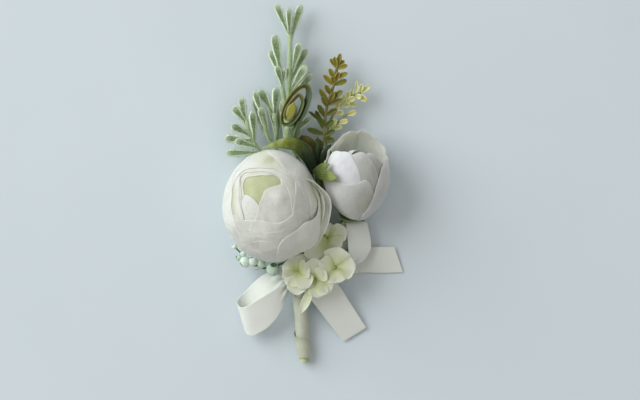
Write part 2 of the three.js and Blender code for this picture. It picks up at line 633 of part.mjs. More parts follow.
// Small four-petalled floret: petals from its centre out to given tips, on a thin green stalk
function floret(centre, petals, stalk) {
  const heart = at(...centre);
  const blades = petals.map(({ tip, width = 5, cup = 1.2, point = 0.4 }) => {
    const end = at(...tip);
    const run = end.clone().sub(heart);
    const side = run.clone().cross(at(0, 0, 1)).normalize();
    const lift = side.clone().cross(run).normalize();
    return sheet((u, t) => {
      const swell = lerp(ROOT_SHARE, 1, Math.sin(Math.min(t / WIDEST_AT, 1) * Math.PI * 0.5));
      const pastWidest = Math.max(0, t - WIDEST_AT) / (1 - WIDEST_AT);
      const close = lerp(1, point, pastWidest ** 2);
      const offset = side.clone().multiplyScalar(u * width * swell * close);
      offset.addScaledVector(lift, cup * (u * u * t + Math.sin(Math.PI * 0.9 * t) * 0.5));
      return heart.clone().addScaledVector(run, t).add(offset);
    }, 2, 3, FLORET_THICKNESS);
  });
  const boss = new THREE.SphereGeometry(BOSS_RADIUS, 5, 4).translate(heart.x, heart.y, heart.z);
  const stem = tube([...stalk, centre], evenRadius(STALK_RADIUS), 4, 6);
  return union([...blades, solidFromGeometry(boss), stem]);
}

function rightFloret() {
  return floret([8.4, -33.4, 12], [
    { tip: [10.2, -26, 14], width: 4.8 },
    { tip: [17, -33.2, 13.4], width: 4.4 },
    { tip: [11.4, -39.4, 12.8], width: 4.6 },
    { tip: [2.6, -32.2, 14], width: 3.6 },
  ], [...seat(45, OUTER_RING), [-1.2, -30.4, 7.8], [4, -31.4, 10.2]]);
}

function upperFloret() {
  return floret([6, -21.8, 10.6], [
    { tip: [13.4, -18.6, 10.6], width: 3.6 },
    { tip: [10, -25.6, 11.2], width: 3 },
    { tip: [3.2, -29.4, 12], width: 2.8 },
    { tip: [6.4, -15.8, 10.2], width: 2.2 },
  ], [...seat(76, OUTER_RING), [-1, -28.8, 9], [3.2, -24.6, 10]]);
}

function middleFloret() {
  return floret([-6.2, -34.8, 11.4], [
    { tip: [-12.2, -34.6, 11.6], width: 3 },
    { tip: [-9, -42.6, 12], width: 4.2 },
    { tip: [-3.6, -41.6, 12.8], width: 3.2 },
    { tip: [-2.6, -31.8, 13.2], width: 3 },
  ], [...seat(146, OUTER_RING), [-7.2, -31, 8.4]]);
}

function lowerFloret() {
  return floret([1.6, -38.6, 11.4], [
    { tip: [7.4, -42.6, 11.4], width: 4.2 },
    { tip: [-3.4, -53, 10.4], width: 2.8, point: 0.12 },
    { tip: [0.4, -35.2, 14.8], width: 2 },
    { tip: [3.4, -35.4, 14.6], width: 2 },
  ], [...seat(107, OUTER_RING), [-4.4, -30.4, 9], [-0.8, -33, 10.8]]);
}

// Spray of small round berries on a branching stem
function berrySpray() {
  const ball = ([x, y, z], radius, sides = 7) => (
    solidFromGeometry(new THREE.SphereGeometry(radius, sides, sides - 2).translate(x, y, z)));
  const main = [
    ...seat(188, OUTER_RING), [-12, -32.2, 5.6], [-18, -34.2, 6.2], [-22.4, -33.4, 6.4],
    [-27.2, -31.4, 6.4],
  ];
  return union([
    tube(main, taper(STEM_RADIUS, 0.5), 5, 10),
    tube([[-26, -32, 6.4], [-28.4, -28.8, 6.6], [-31.6, -25.4, 6.8]], taper(0.45, 0.4), 5, 5),
    tube([[-18, -34.2, 6.2], [-17, -34, 7.4]], evenRadius(0.6), 5, 2),
    ball([-16, -34.6, 8.6], 2.7, 10),
    ball([-27.2, -31.6, 6.6], 2),
    ball([-24, -31.6, 7.4], 1.7),
    ball([-20.8, -32.8, 6.8], 1.5),
    ball([-27.9, -28.4, 6.8], 1),
    ball([-31.5, -25.5, 6.8], 0.9),
  ]);
}

const bloomPlace = flowerFrame(BLOOM_CENTRE, BLOOM_RADII, BLOOM_AXIS);
const budPlace = flowerFrame(BUD_CENTRE, BUD_RADII, BUD_AXIS);

// Bow: each loop and tail leaves the band and is given by its upper and its lower edge
const leftLoop = ribbonStrip(
  [
    [-10, -34.8, 5], [-19.6, -36.6, 3.4], [-27.4, -43.6, 3], [-30.6, -47.8, 6], [-27.8, -49.8, 9.2],
    [-20.4, -45.6, 10.4], [-13.6, -41.4, 9.8], [-9.6, -38.8, 7.6],
  ],
  [
    [-10, -38.6, 3.6], [-17.4, -46.4, 1.8], [-23.6, -55, 1.6], [-27.2, -59.4, 4.4], [-24.2, -61.4, 7.4],
    [-17.2, -57.2, 8.6], [-12.2, -50, 8.4], [-10, -41, 6.2],
  ],
  18,
);

const rightLoop = ribbonStrip(
  [
    [-0.4, -34.8, 5.8], [6, -26, 4.8], [11, -17.4, 4.2], [12.6, -15.8, 6], [13.2, -17.4, 8.6],
    [14, -25.4, 9.4], [14, -30, 8.4], [12, -31, 6.8], [5.4, -32, 7.2], [-0.2, -36.2, 7.2],
  ],
  [
    [-0.6, -37.2, 4.4], [9, -31, 3.8], [18.6, -19.6, 3], [20, -15.6, 4.8], [20.8, -17, 6.8],
    [23.2, -25.4, 6.8], [20, -29.8, 5.4], [16.4, -31, 4.6], [6, -35.8, 5.8], [-0.2, -38.6, 5.8],
  ],
  22,
);

const sideTail = ribbonStrip(
  [[-1, -37.8, 2.4], [6.4, -32.4, 2.2], [18, -26, 1.8], [25, -25.6, 1.6], [32.8, -25.6, 1.5]],
  [[-1.4, -39.8, 2], [7, -38.6, 1.2], [18, -36.2, 0.8], [27, -36.2, 0.7], [36.4, -36, 0.7]],
  8,
);

const lowTail = ribbonStrip(
  [[-1.1, -38.2, 8], [5.4, -38.6, 7.8], [9.8, -40.4, 7], [15.4, -48.8, 4], [21.6, -58.3, 1.2]],
  [[-4.4, -40.4, 9.6], [-3.2, -44.4, 8.8], [-0.2, -47.6, 7], [5.8, -55.6, 4], [12.4, -64, 1]],
  8,
);

const bloomStem = [...seat(221, OUTER_RING), [-9, -27, 1.6]];
const budStem = [...seat(344, OUTER_RING), [3, -26, 6.4], [9, -18, 6.4]];

const boutonniere = new THREE.Group();
boutonniere.add(
  part("stem_core", stemCore(), FINISHES.tape),
  part("stem_wrap", stemWrap(), FINISHES.ribbon),
  part("bow_band", bowBand(), FINISHES.ribbon),
  part("bow_loop_left", leftLoop, FINISHES.ribbon),
  part("bow_loop_right", rightLoop, FINISHES.ribbon),
  part("bow_tail_side", sideTail, FINISHES.ribbon),
  part("bow_tail_low", lowTail, FINISHES.ribbon),
  part("bloom_petals", bloomPetals(), FINISHES.bloomPetal, 0.12),
  part("bloom_calyx", calyx(bloomPlace, 1.06, 15, bloomStem), FINISHES.calyx),
  part("bud_petals", budPetals(), FINISHES.budPetal, 0.12),
  part("bud_calyx", calyx(budPlace, 1.08, 20, budStem), FINISHES.calyx),
  part("flocked_sprig_tall", tallSprig(), FINISHES.flocked),
  part("flocked_sprig_left", leftSprig(), FINISHES.flocked),
  part("flocked_sprig_middle", middleSprig(), FINISHES.flocked),
  part("olive_sprig", oliveSprig(), FINISHES.olive),
  part("lime_sprig", limeSprig(), FINISHES.limeSprig),
  part("curled_leaf", curledLeaf(), FINISHES.curl),
  part("broad_leaf", broadLeaf(), FINISHES.leaf),
  part("brown_leaf", brownLeaf(), FINISHES.brownLeaf),
  part("pointed_leaf", pointedLeaf(), FINISHES.leaf),
  part("narrow_leaf", narrowLeaf(), FINISHES.leaf),
  part("floret_right", rightFloret(), FINISHES.floret),
  part("floret_upper", upperFloret(), FINISHES.floret),
  part("floret_middle", middleFloret(), FINISHES.floret),
  part("floret_lower", lowerFloret(), FINISHES.floret),
  part("berry_spray", berrySpray(), FINISHES.berry),
);

export default boutonniere;
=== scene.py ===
# %% [markdown]
# # A silk boutonniere, lying on its back
# A boutonniere is a small bunch worn on a lapel: here a full white bloom, a half-open bud, sprigs and leaves
# of several greens, cream florets and mint berries, bound with an ivory satin ribbon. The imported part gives
# every piece its place and size. This lesson remakes each piece finely, one after another, and gives it its
# finish. Lengths below are millimetres, with +Y up the bunch and +Z towards the camera, and are turned into
# Blender's metres when a mesh is made.

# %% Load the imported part
import math
import random

import bpy
from mathutils import Matrix, Vector, noise


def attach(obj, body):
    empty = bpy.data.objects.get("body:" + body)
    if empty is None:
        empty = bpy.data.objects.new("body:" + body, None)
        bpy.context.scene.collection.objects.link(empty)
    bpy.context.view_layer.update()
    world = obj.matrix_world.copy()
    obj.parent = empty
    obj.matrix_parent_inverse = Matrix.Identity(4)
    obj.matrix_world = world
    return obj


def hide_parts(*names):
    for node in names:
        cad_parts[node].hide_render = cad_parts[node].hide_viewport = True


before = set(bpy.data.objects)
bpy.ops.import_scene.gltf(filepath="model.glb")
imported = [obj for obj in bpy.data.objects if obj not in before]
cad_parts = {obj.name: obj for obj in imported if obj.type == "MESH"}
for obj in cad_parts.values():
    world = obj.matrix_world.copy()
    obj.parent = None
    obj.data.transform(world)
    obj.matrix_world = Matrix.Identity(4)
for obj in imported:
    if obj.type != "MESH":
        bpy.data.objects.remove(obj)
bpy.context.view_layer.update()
MM = 0.001
BODY = "root"
random.seed(11)
print("packed nodes:", len(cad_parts))

# %% [markdown]
# ## Camera first
# The photograph looks at the face of the bunch from far away. A long lens does the same here: the camera
# hangs high above the table and looks straight down, so that the tall bloom is hardly larger than the low
# ribbon tails. Its height and its field of view are worked out from the width that the picture covers.

# %% Camera
PIXEL = 0.4
PICTURE_WIDTH = 640
VIEW_WIDTH = PICTURE_WIDTH * PIXEL
VIEW_CENTRE = (2.8, -6.8)
LOOK_LEVEL = 12.0
CAMERA_HEIGHT = 1500.0
SENSOR_WIDTH = 36

bpy.ops.object.select_all(action="DESELECT")
bpy.ops.object.camera_add(
    location=(VIEW_CENTRE[0] * MM, VIEW_CENTRE[1] * MM, (CAMERA_HEIGHT + LOOK_LEVEL) * MM),
    rotation=(0, 0, 0),
)
camera = bpy.context.object
camera.name = "camera"
camera.data.sensor_width = SENSOR_WIDTH
camera.data.lens = SENSOR_WIDTH * CAMERA_HEIGHT / VIEW_WIDTH
camera.data.clip_end = 10
bpy.context.scene.camera = camera
print("lens", round(camera.data.lens), "mm")

# %% [markdown]
# ## Helpers for shapes
# Cloth petals, leaves and ribbon are all thin sheets. Each starts as a grid primitive, which already has a
# UV map, and is laid over a surface that is given as a formula: u runs across it from -1 to 1 and t along it
# from 0 to 1. Solidify gives it thickness and Subdivision Surface rounds it. The UV map stays with the
# surface, so veins and colour can follow it later.

# %% Small helpers
def deselect():
    bpy.ops.object.select_all(action="DESELECT")


def lerp(start, end, share):
    return start + (end - start) * share


def above_table(spot, half_thickness):
    spot.z = max(spot.z, half_thickness)
    return spot


def smoothstep(start, end, value):
    """From 0 at start to 1 at end, eased at both; start may be the larger one."""
    share = min(max((value - start) / (end - start), 0), 1)
    return share * share * (3 - 2 * share)


def ripple(place, size, seed=0.0):
    """Smooth noise from -1 to 1 at a place in millimetres, with bumps of the given size."""
    return noise.noise(Vector(place) / size + Vector((seed, seed * 0.7, -seed)))


# %% Laying and thickening a sheet
def lay_sheet(name, surface, across, along, *materials):
    deselect()
    bpy.ops.mesh.primitive_grid_add(x_subdivisions=across, y_subdivisions=along, size=2)
    piece = bpy.context.object
    piece.name = name
    for material in materials:
        piece.data.materials.append(material)
    for vertex in piece.data.vertices:
        vertex.co = Vector(surface(vertex.co.x, (vertex.co.y + 1) / 2)) * MM
    return piece


def add_ball(material, radius, place=(0, 0, 0), segments=20, rings=12, height=1.0):
    """A ball, with its height as a share of its width."""
    deselect()
    bpy.ops.mesh.primitive_uv_sphere_add(
        segments=segments, ring_count=rings, radius=radius * MM, location=Vector(place) * MM,
        scale=(1, 1, height),
    )
    ball = bpy.context.object
    ball.data.materials.append(material)
    return ball


def pick(*pieces):
    """Selects these pieces only, with the first one active."""
    deselect()
    for piece in pieces:
        piece.select_set(True)
    bpy.context.view_layer.objects.active = pieces[0]


def apply_modifiers(piece):
    pick(piece)
    for modifier in list(piece.modifiers):
        bpy.ops.object.modifier_apply(modifier=modifier.name)


def thicken(piece, thickness, rounding=1, inside=0):
    """inside is how many slots further down the material of the back face is."""
    solid = piece.modifiers.new("Thickness", "SOLIDIFY")
    solid.thickness = thickness * MM
    solid.offset = 0
    solid.material_offset = inside
    if rounding:
        smooth = piece.modifiers.new("Rounding", "SUBSURF")
        smooth.levels = rounding
        smooth.render_levels = rounding
    apply_modifiers(piece)
    return piece


def join(pieces, name):
    pick(*pieces)
    bpy.ops.object.join()
    whole = bpy.context.object
    whole.name = name
    whole.data.name = name
    return whole


# %% Smooth lines through a few points
def smooth_line(points):
    """A function of t from 0 to 1 that runs smoothly through the points, as a Catmull-Rom curve does."""
    spots = [Vector(point) for point in points]
    spots = [spots[0] * 2 - spots[1], *spots, spots[-1] * 2 - spots[-2]]
    spans = len(spots) - 3

    def place(t):
        t = min(max(t, 0), 1) * spans
        span = min(int(t), spans - 1)
        before, start, end, after = spots[span:span + 4]
        t -= span
        bend = (before - start * 3 + end * 3 - after) * -1
        return (
            start * 2 + (end - before) * t + (before * 2 - start * 5 + end * 4 - after) * t * t
            + bend * t * t * t
        ) / 2

    return place


def stem(points, from_radius, to_radius, material, sides=3):
    """A round stem through the points, as a bevelled curve turned into a mesh."""
    deselect()
    bpy.ops.curve.primitive_bezier_curve_add()
    piece = bpy.context.object
    curve = piece.data
    curve.splines.clear()
    spline = curve.splines.new("BEZIER")
    last = len(points) - 1
    spline.bezier_points.add(last)
    for number, (knot, point) in enumerate(zip(spline.bezier_points, points)):
        knot.co = Vector(point) * MM
        knot.handle_left_type = "AUTO"
        knot.handle_right_type = "AUTO"
        knot.radius = lerp(from_radius, to_radius, number / last)
    curve.dimensions = "3D"
    curve.resolution_u = 8
    curve.bevel_depth = MM
    curve.bevel_resolution = sides
    curve.use_fill_caps = True
    bpy.ops.object.convert(target="MESH")
    piece = bpy.context.object
    piece.data.materials.append(material)
    return piece


# %% Finishing a piece
def settle(piece, node):
    """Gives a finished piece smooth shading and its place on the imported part."""
    pick(piece)
    bpy.ops.object.transform_apply(location=True, rotation=True, scale=True)
    bpy.ops.object.shade_smooth()
    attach(piece, BODY)
    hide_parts(node)
    print(piece.name, "has", len(piece.data.polygons), "faces and stands for", node)


# %% [markdown]
# ## Helpers for finishes
# Every material is a Principled BSDF fed by textures. What several finishes share is a node group with named
# sockets: the fine thread of the cloth, the parallel veins of a leaf, the fuzz of flocking and a soft cloudy
# change of tone. The groups give masks and heights only, and the shader stays in the material.

# %% Node helpers
def feed(tree, socket, value):
    """Links an input to another node's socket, or sets it to a plain value or colour."""
    if isinstance(value, bpy.types.NodeSocket):
        tree.links.new(value, socket)
    elif socket.type == "RGBA":
        socket.default_value = (*value, 1)
    else:
        socket.default_value = value


def add_node(tree, kind, **values):
    """Adds a node. Values name its input sockets, with _ for a space, or its own settings."""
    made = tree.nodes.new(kind)
    for name, value in values.items():
        socket = made.inputs.get(name.replace("_", " "))
        if socket is None:
            setattr(made, name, value)
        else:
            feed(tree, socket, value)
    return made


def math_node(tree, operation, first, second=0.0):
    made = add_node(tree, "ShaderNodeMath", operation=operation)
    feed(tree, made.inputs[0], first)
    feed(tree, made.inputs[1], second)
    return made.outputs[0]


def scaled(tree, value, by):
    return math_node(tree, "MULTIPLY", value, by)


def spread(tree, value, low, high):
    """From 0 to 1 as the value goes from low to high."""
    return add_node(tree, "ShaderNodeMapRange", Value=value, From_Min=low, From_Max=high).outputs["Result"]


def mix_colour(tree, mask, first, second):
    """Mixes two colours by a mask. Each may be a socket or a plain value."""
    mix = add_node(tree, "ShaderNodeMix", data_type="RGBA")
    for number, value in ((0, mask), (6, first), (7, second)):
        feed(tree, mix.inputs[number], value)
    return mix.outputs[2]


def ramp_node(tree, source, stops):
    """A colour ramp over source. stops lists (place, colour)."""
    ramp = add_node(tree, "ShaderNodeValToRGB", Fac=source)
    elements = ramp.color_ramp.elements
    while len(elements) < len(stops):
        elements.new(0.5)
    for element, (place, colour) in zip(elements, stops):
        element.position = place
        element.color = (*colour, 1)
    return ramp.outputs["Color"]


def surface_place(tree, space, axis=None):
    """The Object or UV coordinates, whole or along one axis."""
    place = add_node(tree, "ShaderNodeTexCoord").outputs[space]
    if axis is None:
        return place
    return add_node(tree, "ShaderNodeSeparateXYZ", Vector=place).outputs[axis]


# %% Node groups
def new_group(name, inputs, outputs):
    """An empty group with float inputs of given defaults, and the sockets to read and to feed inside it."""
    group = bpy.data.node_groups.new(name, "ShaderNodeTree")
    for label, default in inputs.items():
        socket = group.interface.new_socket(label, in_out="INPUT", socket_type="NodeSocketFloat")
        socket.default_value = default
    for label in outputs:
        group.interface.new_socket(label, in_out="OUTPUT", socket_type="NodeSocketFloat")
    return group, group.nodes.new("NodeGroupInput").outputs, group.nodes.new("NodeGroupOutput").inputs


def use_group(tree, group, **values):
    return add_node(tree, "ShaderNodeGroup", node_tree=group, **values).outputs


# %% Group: cloudy change of tone
def cloud_group():
    group, given, result = new_group("Cloudy tone", {"Size mm": 6.0}, ["Mask"])
    place = surface_place(group, "Object")
    scale = math_node(group, "DIVIDE", 1 / MM, given["Size mm"])
    cloud = add_node(group, "ShaderNodeTexNoise", Vector=place, Scale=scale, Detail=3.0, Roughness=0.55)
    feed(group, result["Mask"], spread(group, cloud.outputs[0], 0.32, 0.68))
    return group


CLOUDS = cloud_group()


def clouds(tree, size):
    return use_group(tree, CLOUDS, Size_mm=size)["Mask"]


def drift(tree, size, amount):
    """A cloudy shift between minus and plus half the amount."""
    return scaled(tree, math_node(tree, "SUBTRACT", clouds(tree, size), 0.5), amount)


# %% Group: woven thread
def weave_group():
    counts = {"Threads across": 60.0, "Threads along": 60.0}
    group, given, result = new_group("Woven thread", counts, ["Height"])
    waves = []
    for axis, count in zip("XY", counts):
        turns = scaled(group, given[count], math.tau)
        angle = math_node(group, "MULTIPLY", surface_place(group, "UV", axis), turns)
        waves.append(math_node(group, "SINE", angle))
    feed(group, result["Height"], math_node(group, "MULTIPLY", *waves))
    return group


# %% Group: parallel leaf veins
def vein_group():
    group, given, result = new_group("Leaf veins", {"Veins": 9.0, "Sharpness": 4.0}, ["Vein", "Edge"])
    sideways = surface_place(group, "UV", "X")
    wander = add_node(group, "ShaderNodeTexNoise", Vector=surface_place(group, "UV"), Scale=3.0, Detail=2.0)
    across = math_node(group, "ADD", sideways, scaled(group, wander.outputs[0], 0.05))
    turns = scaled(group, given["Veins"], math.tau)
    wave = math_node(group, "COSINE", math_node(group, "MULTIPLY", across, turns))
    raised = scaled(group, math_node(group, "ADD", wave, 1.0), 0.5)
    feed(group, result["Vein"], math_node(group, "POWER", raised, given["Sharpness"]))
    from_middle = math_node(group, "ABSOLUTE", math_node(group, "SUBTRACT", sideways, 0.5))
    feed(group, result["Edge"], spread(group, from_middle, 0.3, 0.48))
    return group


# %% Group: flocked fuzz
def fuzz_group():
    group, given, result = new_group("Flocked fuzz", {"Fibre mm": 0.16}, ["Height", "Fleck"])
    place = surface_place(group, "Object")
    scale = math_node(group, "DIVIDE", 1 / MM, given["Fibre mm"])
    fine = add_node(group, "ShaderNodeTexNoise", Vector=place, Scale=scale, Detail=3.0, Roughness=0.7)
    cells = add_node(group, "ShaderNodeTexVoronoi", Vector=place, Scale=scaled(group, scale, 0.45))
    clumps = scaled(group, cells.outputs["Distance"], 0.6)
    feed(group, result["Height"], math_node(group, "ADD", fine.outputs[0], clumps))
    feed(group, result["Fleck"], spread(group, fine.outputs[0], 0.45, 0.7))
    return group


WEAVE = weave_group()
VEINS = vein_group()
FUZZ = fuzz_group()
print("node groups:", ", ".join(group.name for group in (CLOUDS, WEAVE, VEINS, FUZZ)))


# %% Starting and ending a material
def start_material(name, roughness, **sockets):
    """A material with a Principled BSDF whose constant sockets are set by name."""
    material = bpy.data.materials.new(name)
    material.use_nodes = True
    shader = material.node_tree.nodes["Principled BSDF"]
    shader.inputs["Roughness"].default_value = roughness
    shader.inputs["Subsurface Radius"].default_value = (1.0, 1.0, 0.75)
    for label, value in sockets.items():
        shader.inputs[label.replace("_", " ")].default_value = value
    return material, material.node_tree


def end_material(material, colour, height=None, depth=0.1, strength=1.0):
    """Feeds the shader with the colour and, where given, with a height whose depth is in millimetres."""
    tree = material.node_tree
    shader = tree.nodes["Principled BSDF"]
    feed(tree, shader.inputs["Base Color"], colour)
    if height is not None:
        raised = add_node(tree, "ShaderNodeBump", Height=height, Strength=strength, Distance=depth * MM)
        feed(tree, shader.inputs["Normal"], raised.outputs["Normal"])
    return material


# %% [markdown]
# ## Petal cloth
# Silk petals are dyed after they are cut: white along the rim, pale yellow green towards the foot, where the
# dye pools. The same amount also paints shade: each petal turns greener and darker where it dips under the
# rim of the next one out, in the gaps where shade falls. It is a vertex attribute that each petal gets when
# it is laid, so it follows the cloth. The cloth is so thin that light passes through a whole flower, which
# subsurface scattering gives.

# %% Petal material
def petal_material(name, stops, glow=0.3):
    """stops lists (amount, colour) from the white rim to the dyed foot; in gaps the amount is painted shade.
    """
    material, tree = start_material(
        name, 0.75, Subsurface_Weight=glow, Subsurface_Scale=2.0 * MM, Sheen_Weight=0.06,
        Sheen_Roughness=0.5, Specular_IOR_Level=0.18,
    )
    dye_and_shade = add_node(tree, "ShaderNodeAttribute", attribute_name="dye_and_shade").outputs["Fac"]
    colour = ramp_node(tree, math_node(tree, "ADD", dye_and_shade, drift(tree, 7.0, 0.1)), stops)
    ribs = scaled(tree, use_group(tree, VEINS, Veins=15.0, Sharpness=1.5)["Vein"], 0.3)
    threads = scaled(tree, use_group(tree, WEAVE, Threads_across=110.0, Threads_along=110.0)["Height"], 0.12)
    folds = scaled(tree, clouds(tree, 4.0), 3.5)
    height = math_node(tree, "ADD", math_node(tree, "ADD", ribs, threads), folds)
    return end_material(material, colour, height, 0.06, 0.8)


HEART_GREEN = (0.47, 0.5, 0.3)
FOOT_GREEN = (0.42, 0.5, 0.16)
# The greener, darker stops are dye at the foot and painted shade in the gaps between petals.
bloom_cloth = (
    petal_material("petal outside", [
        (0.06, (0.85, 0.87, 0.79)), (0.35, (0.75, 0.78, 0.6)), (0.7, HEART_GREEN), (1.0, FOOT_GREEN),
    ]),
    petal_material("petal inside", [
        (0.0, (0.88, 0.9, 0.8)), (0.35, (0.74, 0.79, 0.48)), (1.0, FOOT_GREEN),
    ], glow=0.6),
)
# On the bud the stops grey the cloth as the amount rises: painted shade on the front, lobe and grey petals
# and in the hood.
bud_cloth = (
    petal_material("bud outside", [
        (0.0, (0.8, 0.82, 0.84)), (0.13, (0.69, 0.7, 0.68)), (0.5, (0.5, 0.52, 0.45)), (1.0, HEART_GREEN),
    ]),
    petal_material("bud inside", [
        (0.0, (0.82, 0.82, 0.76)), (0.35, (0.68, 0.69, 0.54)), (1.0, (0.42, 0.45, 0.26)),
    ], glow=0.7),
)

# %% [markdown]
# ## How a flower is laid out
# The petals of both flowers lie on an oval ball that leans the way the flower faces. A place on it is given
# by two angles: how far round the flower's axis, and how far down from it. A petal is a patch of the ball
# that hangs from its free edge, the rim, down to the flower's foot. The rim is a smooth line through a few
# such places, read from how the petals of the photograph lie. A petal's layer is the size of its ball, so
# each petal lies just over the next one in.

# %% Flower frame and petal
BLOOM = {"centre": (-16.8, -9, 17.2), "radii": (20.5, 23.55, 18.5), "axis": (-0.27, 0.33, 0.905)}
BUD = {"centre": (17.2, 3.2, 13.2), "radii": (13.2, 18.2, 13.4), "axis": (0.16, 0.78, 0.6)}
RELIEF = ((0.035, 9, 4), (0.014, 3.6, 8))


def on_ball(flower, from_top, round_angle, layer):
    """The place on the flower's oval ball, from two angles in degrees and the size of the layer."""
    up = Vector(flower["axis"]).normalized()
    right = (Vector((1, 0, 0)) - up * up.x).normalized()
    forward = up.cross(right)
    tilt = math.radians(from_top)
    turn = math.radians(round_angle)
    direction = up * math.cos(tilt) + (right * math.cos(turn) + forward * math.sin(turn)) * math.sin(tilt)
    return Vector([c + d * r * layer for c, d, r in zip(flower["centre"], direction, flower["radii"])])


def relief(spot):
    """The ball's soft unevenness, as bumps of a depth, size and seed. Every layer has the same ones."""
    return sum(depth * ripple(spot, size, seed) for depth, size, seed in RELIEF)


def sheet_places(piece):
    """For each vertex of a laid sheet its (u, t), read from the UV map."""
    found = [(0.0, 0.0)] * len(piece.data.vertices)
    for loop, spot in zip(piece.data.loops, piece.data.uv_layers[0].data):
        found[loop.vertex_index] = (spot.uv[0] * 2 - 1, spot.uv[1])
    return found


def paint(piece, amounts):
    """Gives each vertex of the piece how deeply it is dyed and painted with shade."""
    attribute = piece.data.attributes.new("dye_and_shade", "FLOAT", "POINT")
    for place, amount in zip(attribute.data, amounts):
        place.value = amount


# %% A petal
CLOTH = 0.11
RIM_REACH = 14
FLARE_START = 0.66
WAVE_DEPTH = 0.004
WAVE_SIZE = 4
FRAY_SIZE = 2.2
SWAY_ANGLE = 1.2
SWAY_SIZE = 4.5
NEAR_AXIS = 8


def lay_petal(flower, cloth, rim, layer, flare=0.0, green=(6, 30, 0.25), patch=None, ridge=None,
              base=150, roll=0.002, wave=1.4, ragged=0.0, across=28):
    """rim lists (round, from top) in degrees, and base is where the petal ends below. flare opens it, roll
    lifts its rim, wave and ragged give the rim soft waves and frays. green is where the dyed band starts and
    is full, in degrees below the rim, and how strong it is; under the next petal's rim it is painted shade.
    patch is a spot of painted shade in a hollow and ridge a fold, each as (round, from top, reach in degrees,
    strength)."""
    edge = smooth_line([(turn, from_top, 0) for turn, from_top in rim])
    seed = rim[0][0] * 0.37 + layer * 19

    def angles(u, t):
        end = edge((u + 1) / 2)
        return end.x, lerp(base, end.y, t), end.y

    def bulge(turn, from_top, spot):
        sideways = (turn - spot[0]) * math.sin(math.radians(max(from_top, NEAR_AXIS)))
        apart = math.hypot(sideways, from_top - spot[1])
        return spot[3] * math.exp(-((apart / spot[2]) ** 2))

    def surface(u, t):
        turn, from_top, rim_here = angles(u, t)
        spot = on_ball(flower, from_top, turn, 1)
        near_rim = smoothstep(RIM_REACH, 0, from_top - rim_here)
        size = layer + relief(spot) + flare * smoothstep(FLARE_START, 1, t) * math.sqrt(1 - u * u)
        size += roll * near_rim * near_rim + wave * WAVE_DEPTH * near_rim * ripple(spot, WAVE_SIZE, seed)
        size += ragged * near_rim ** 4 * ripple(spot, FRAY_SIZE, seed + 5)
        if ridge:
            size += bulge(turn, from_top, ridge)
        from_top += wave * SWAY_ANGLE * near_rim * ripple(spot, SWAY_SIZE, seed + 9)
        return above_table(on_ball(flower, from_top, turn, size), CLOTH)

    # The amount is dye at the foot and painted shade where the petal lies under the next rim; patch adds
    # painted shade.
    def dye_and_shade(u, t):
        turn, from_top, rim_here = angles(u, t)
        spot = bulge(turn, from_top, patch) if patch else 0
        return green[2] * smoothstep(green[0], green[1], from_top - rim_here) + spot

    petal = thicken(lay_sheet("petal", surface, across, 20, *cloth), CLOTH, inside=1)
    paint(petal, [dye_and_shade(u, t) for u, t in sheet_places(petal)])
    return petal


# %% A whole flower
def flower_core(flower, cloth, layer, dye_and_shade):
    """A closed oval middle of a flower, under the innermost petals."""
    core = add_ball(cloth, 1, segments=64, rings=40)
    centre = Vector(flower["centre"])
    radii = Vector(flower["radii"])
    for vertex in core.data.vertices:
        reach = vertex.co / MM * radii
        vertex.co = (centre + reach * (layer + relief(centre + reach))) * MM
    paint(core, [dye_and_shade] * len(core.data.vertices))
    return core


def build_flower(name, flower, cloth, petals, core_layer, core_dye):
    pieces = [lay_petal(flower, cloth, **petal) for petal in petals]
    return join([*pieces, flower_core(flower, cloth[0], core_layer, core_dye)], name)


# %% [markdown]
# ## The bloom
# A full ranunculus: the outer petals close round it like a cup, and further in the rims follow each other
# more and more closely. The axis leans up and to the left, so the camera looks down to a yellow green heart
# that is shaped like a scoop. A fold stands at its right, and two guard petals stand clear of the bloom.

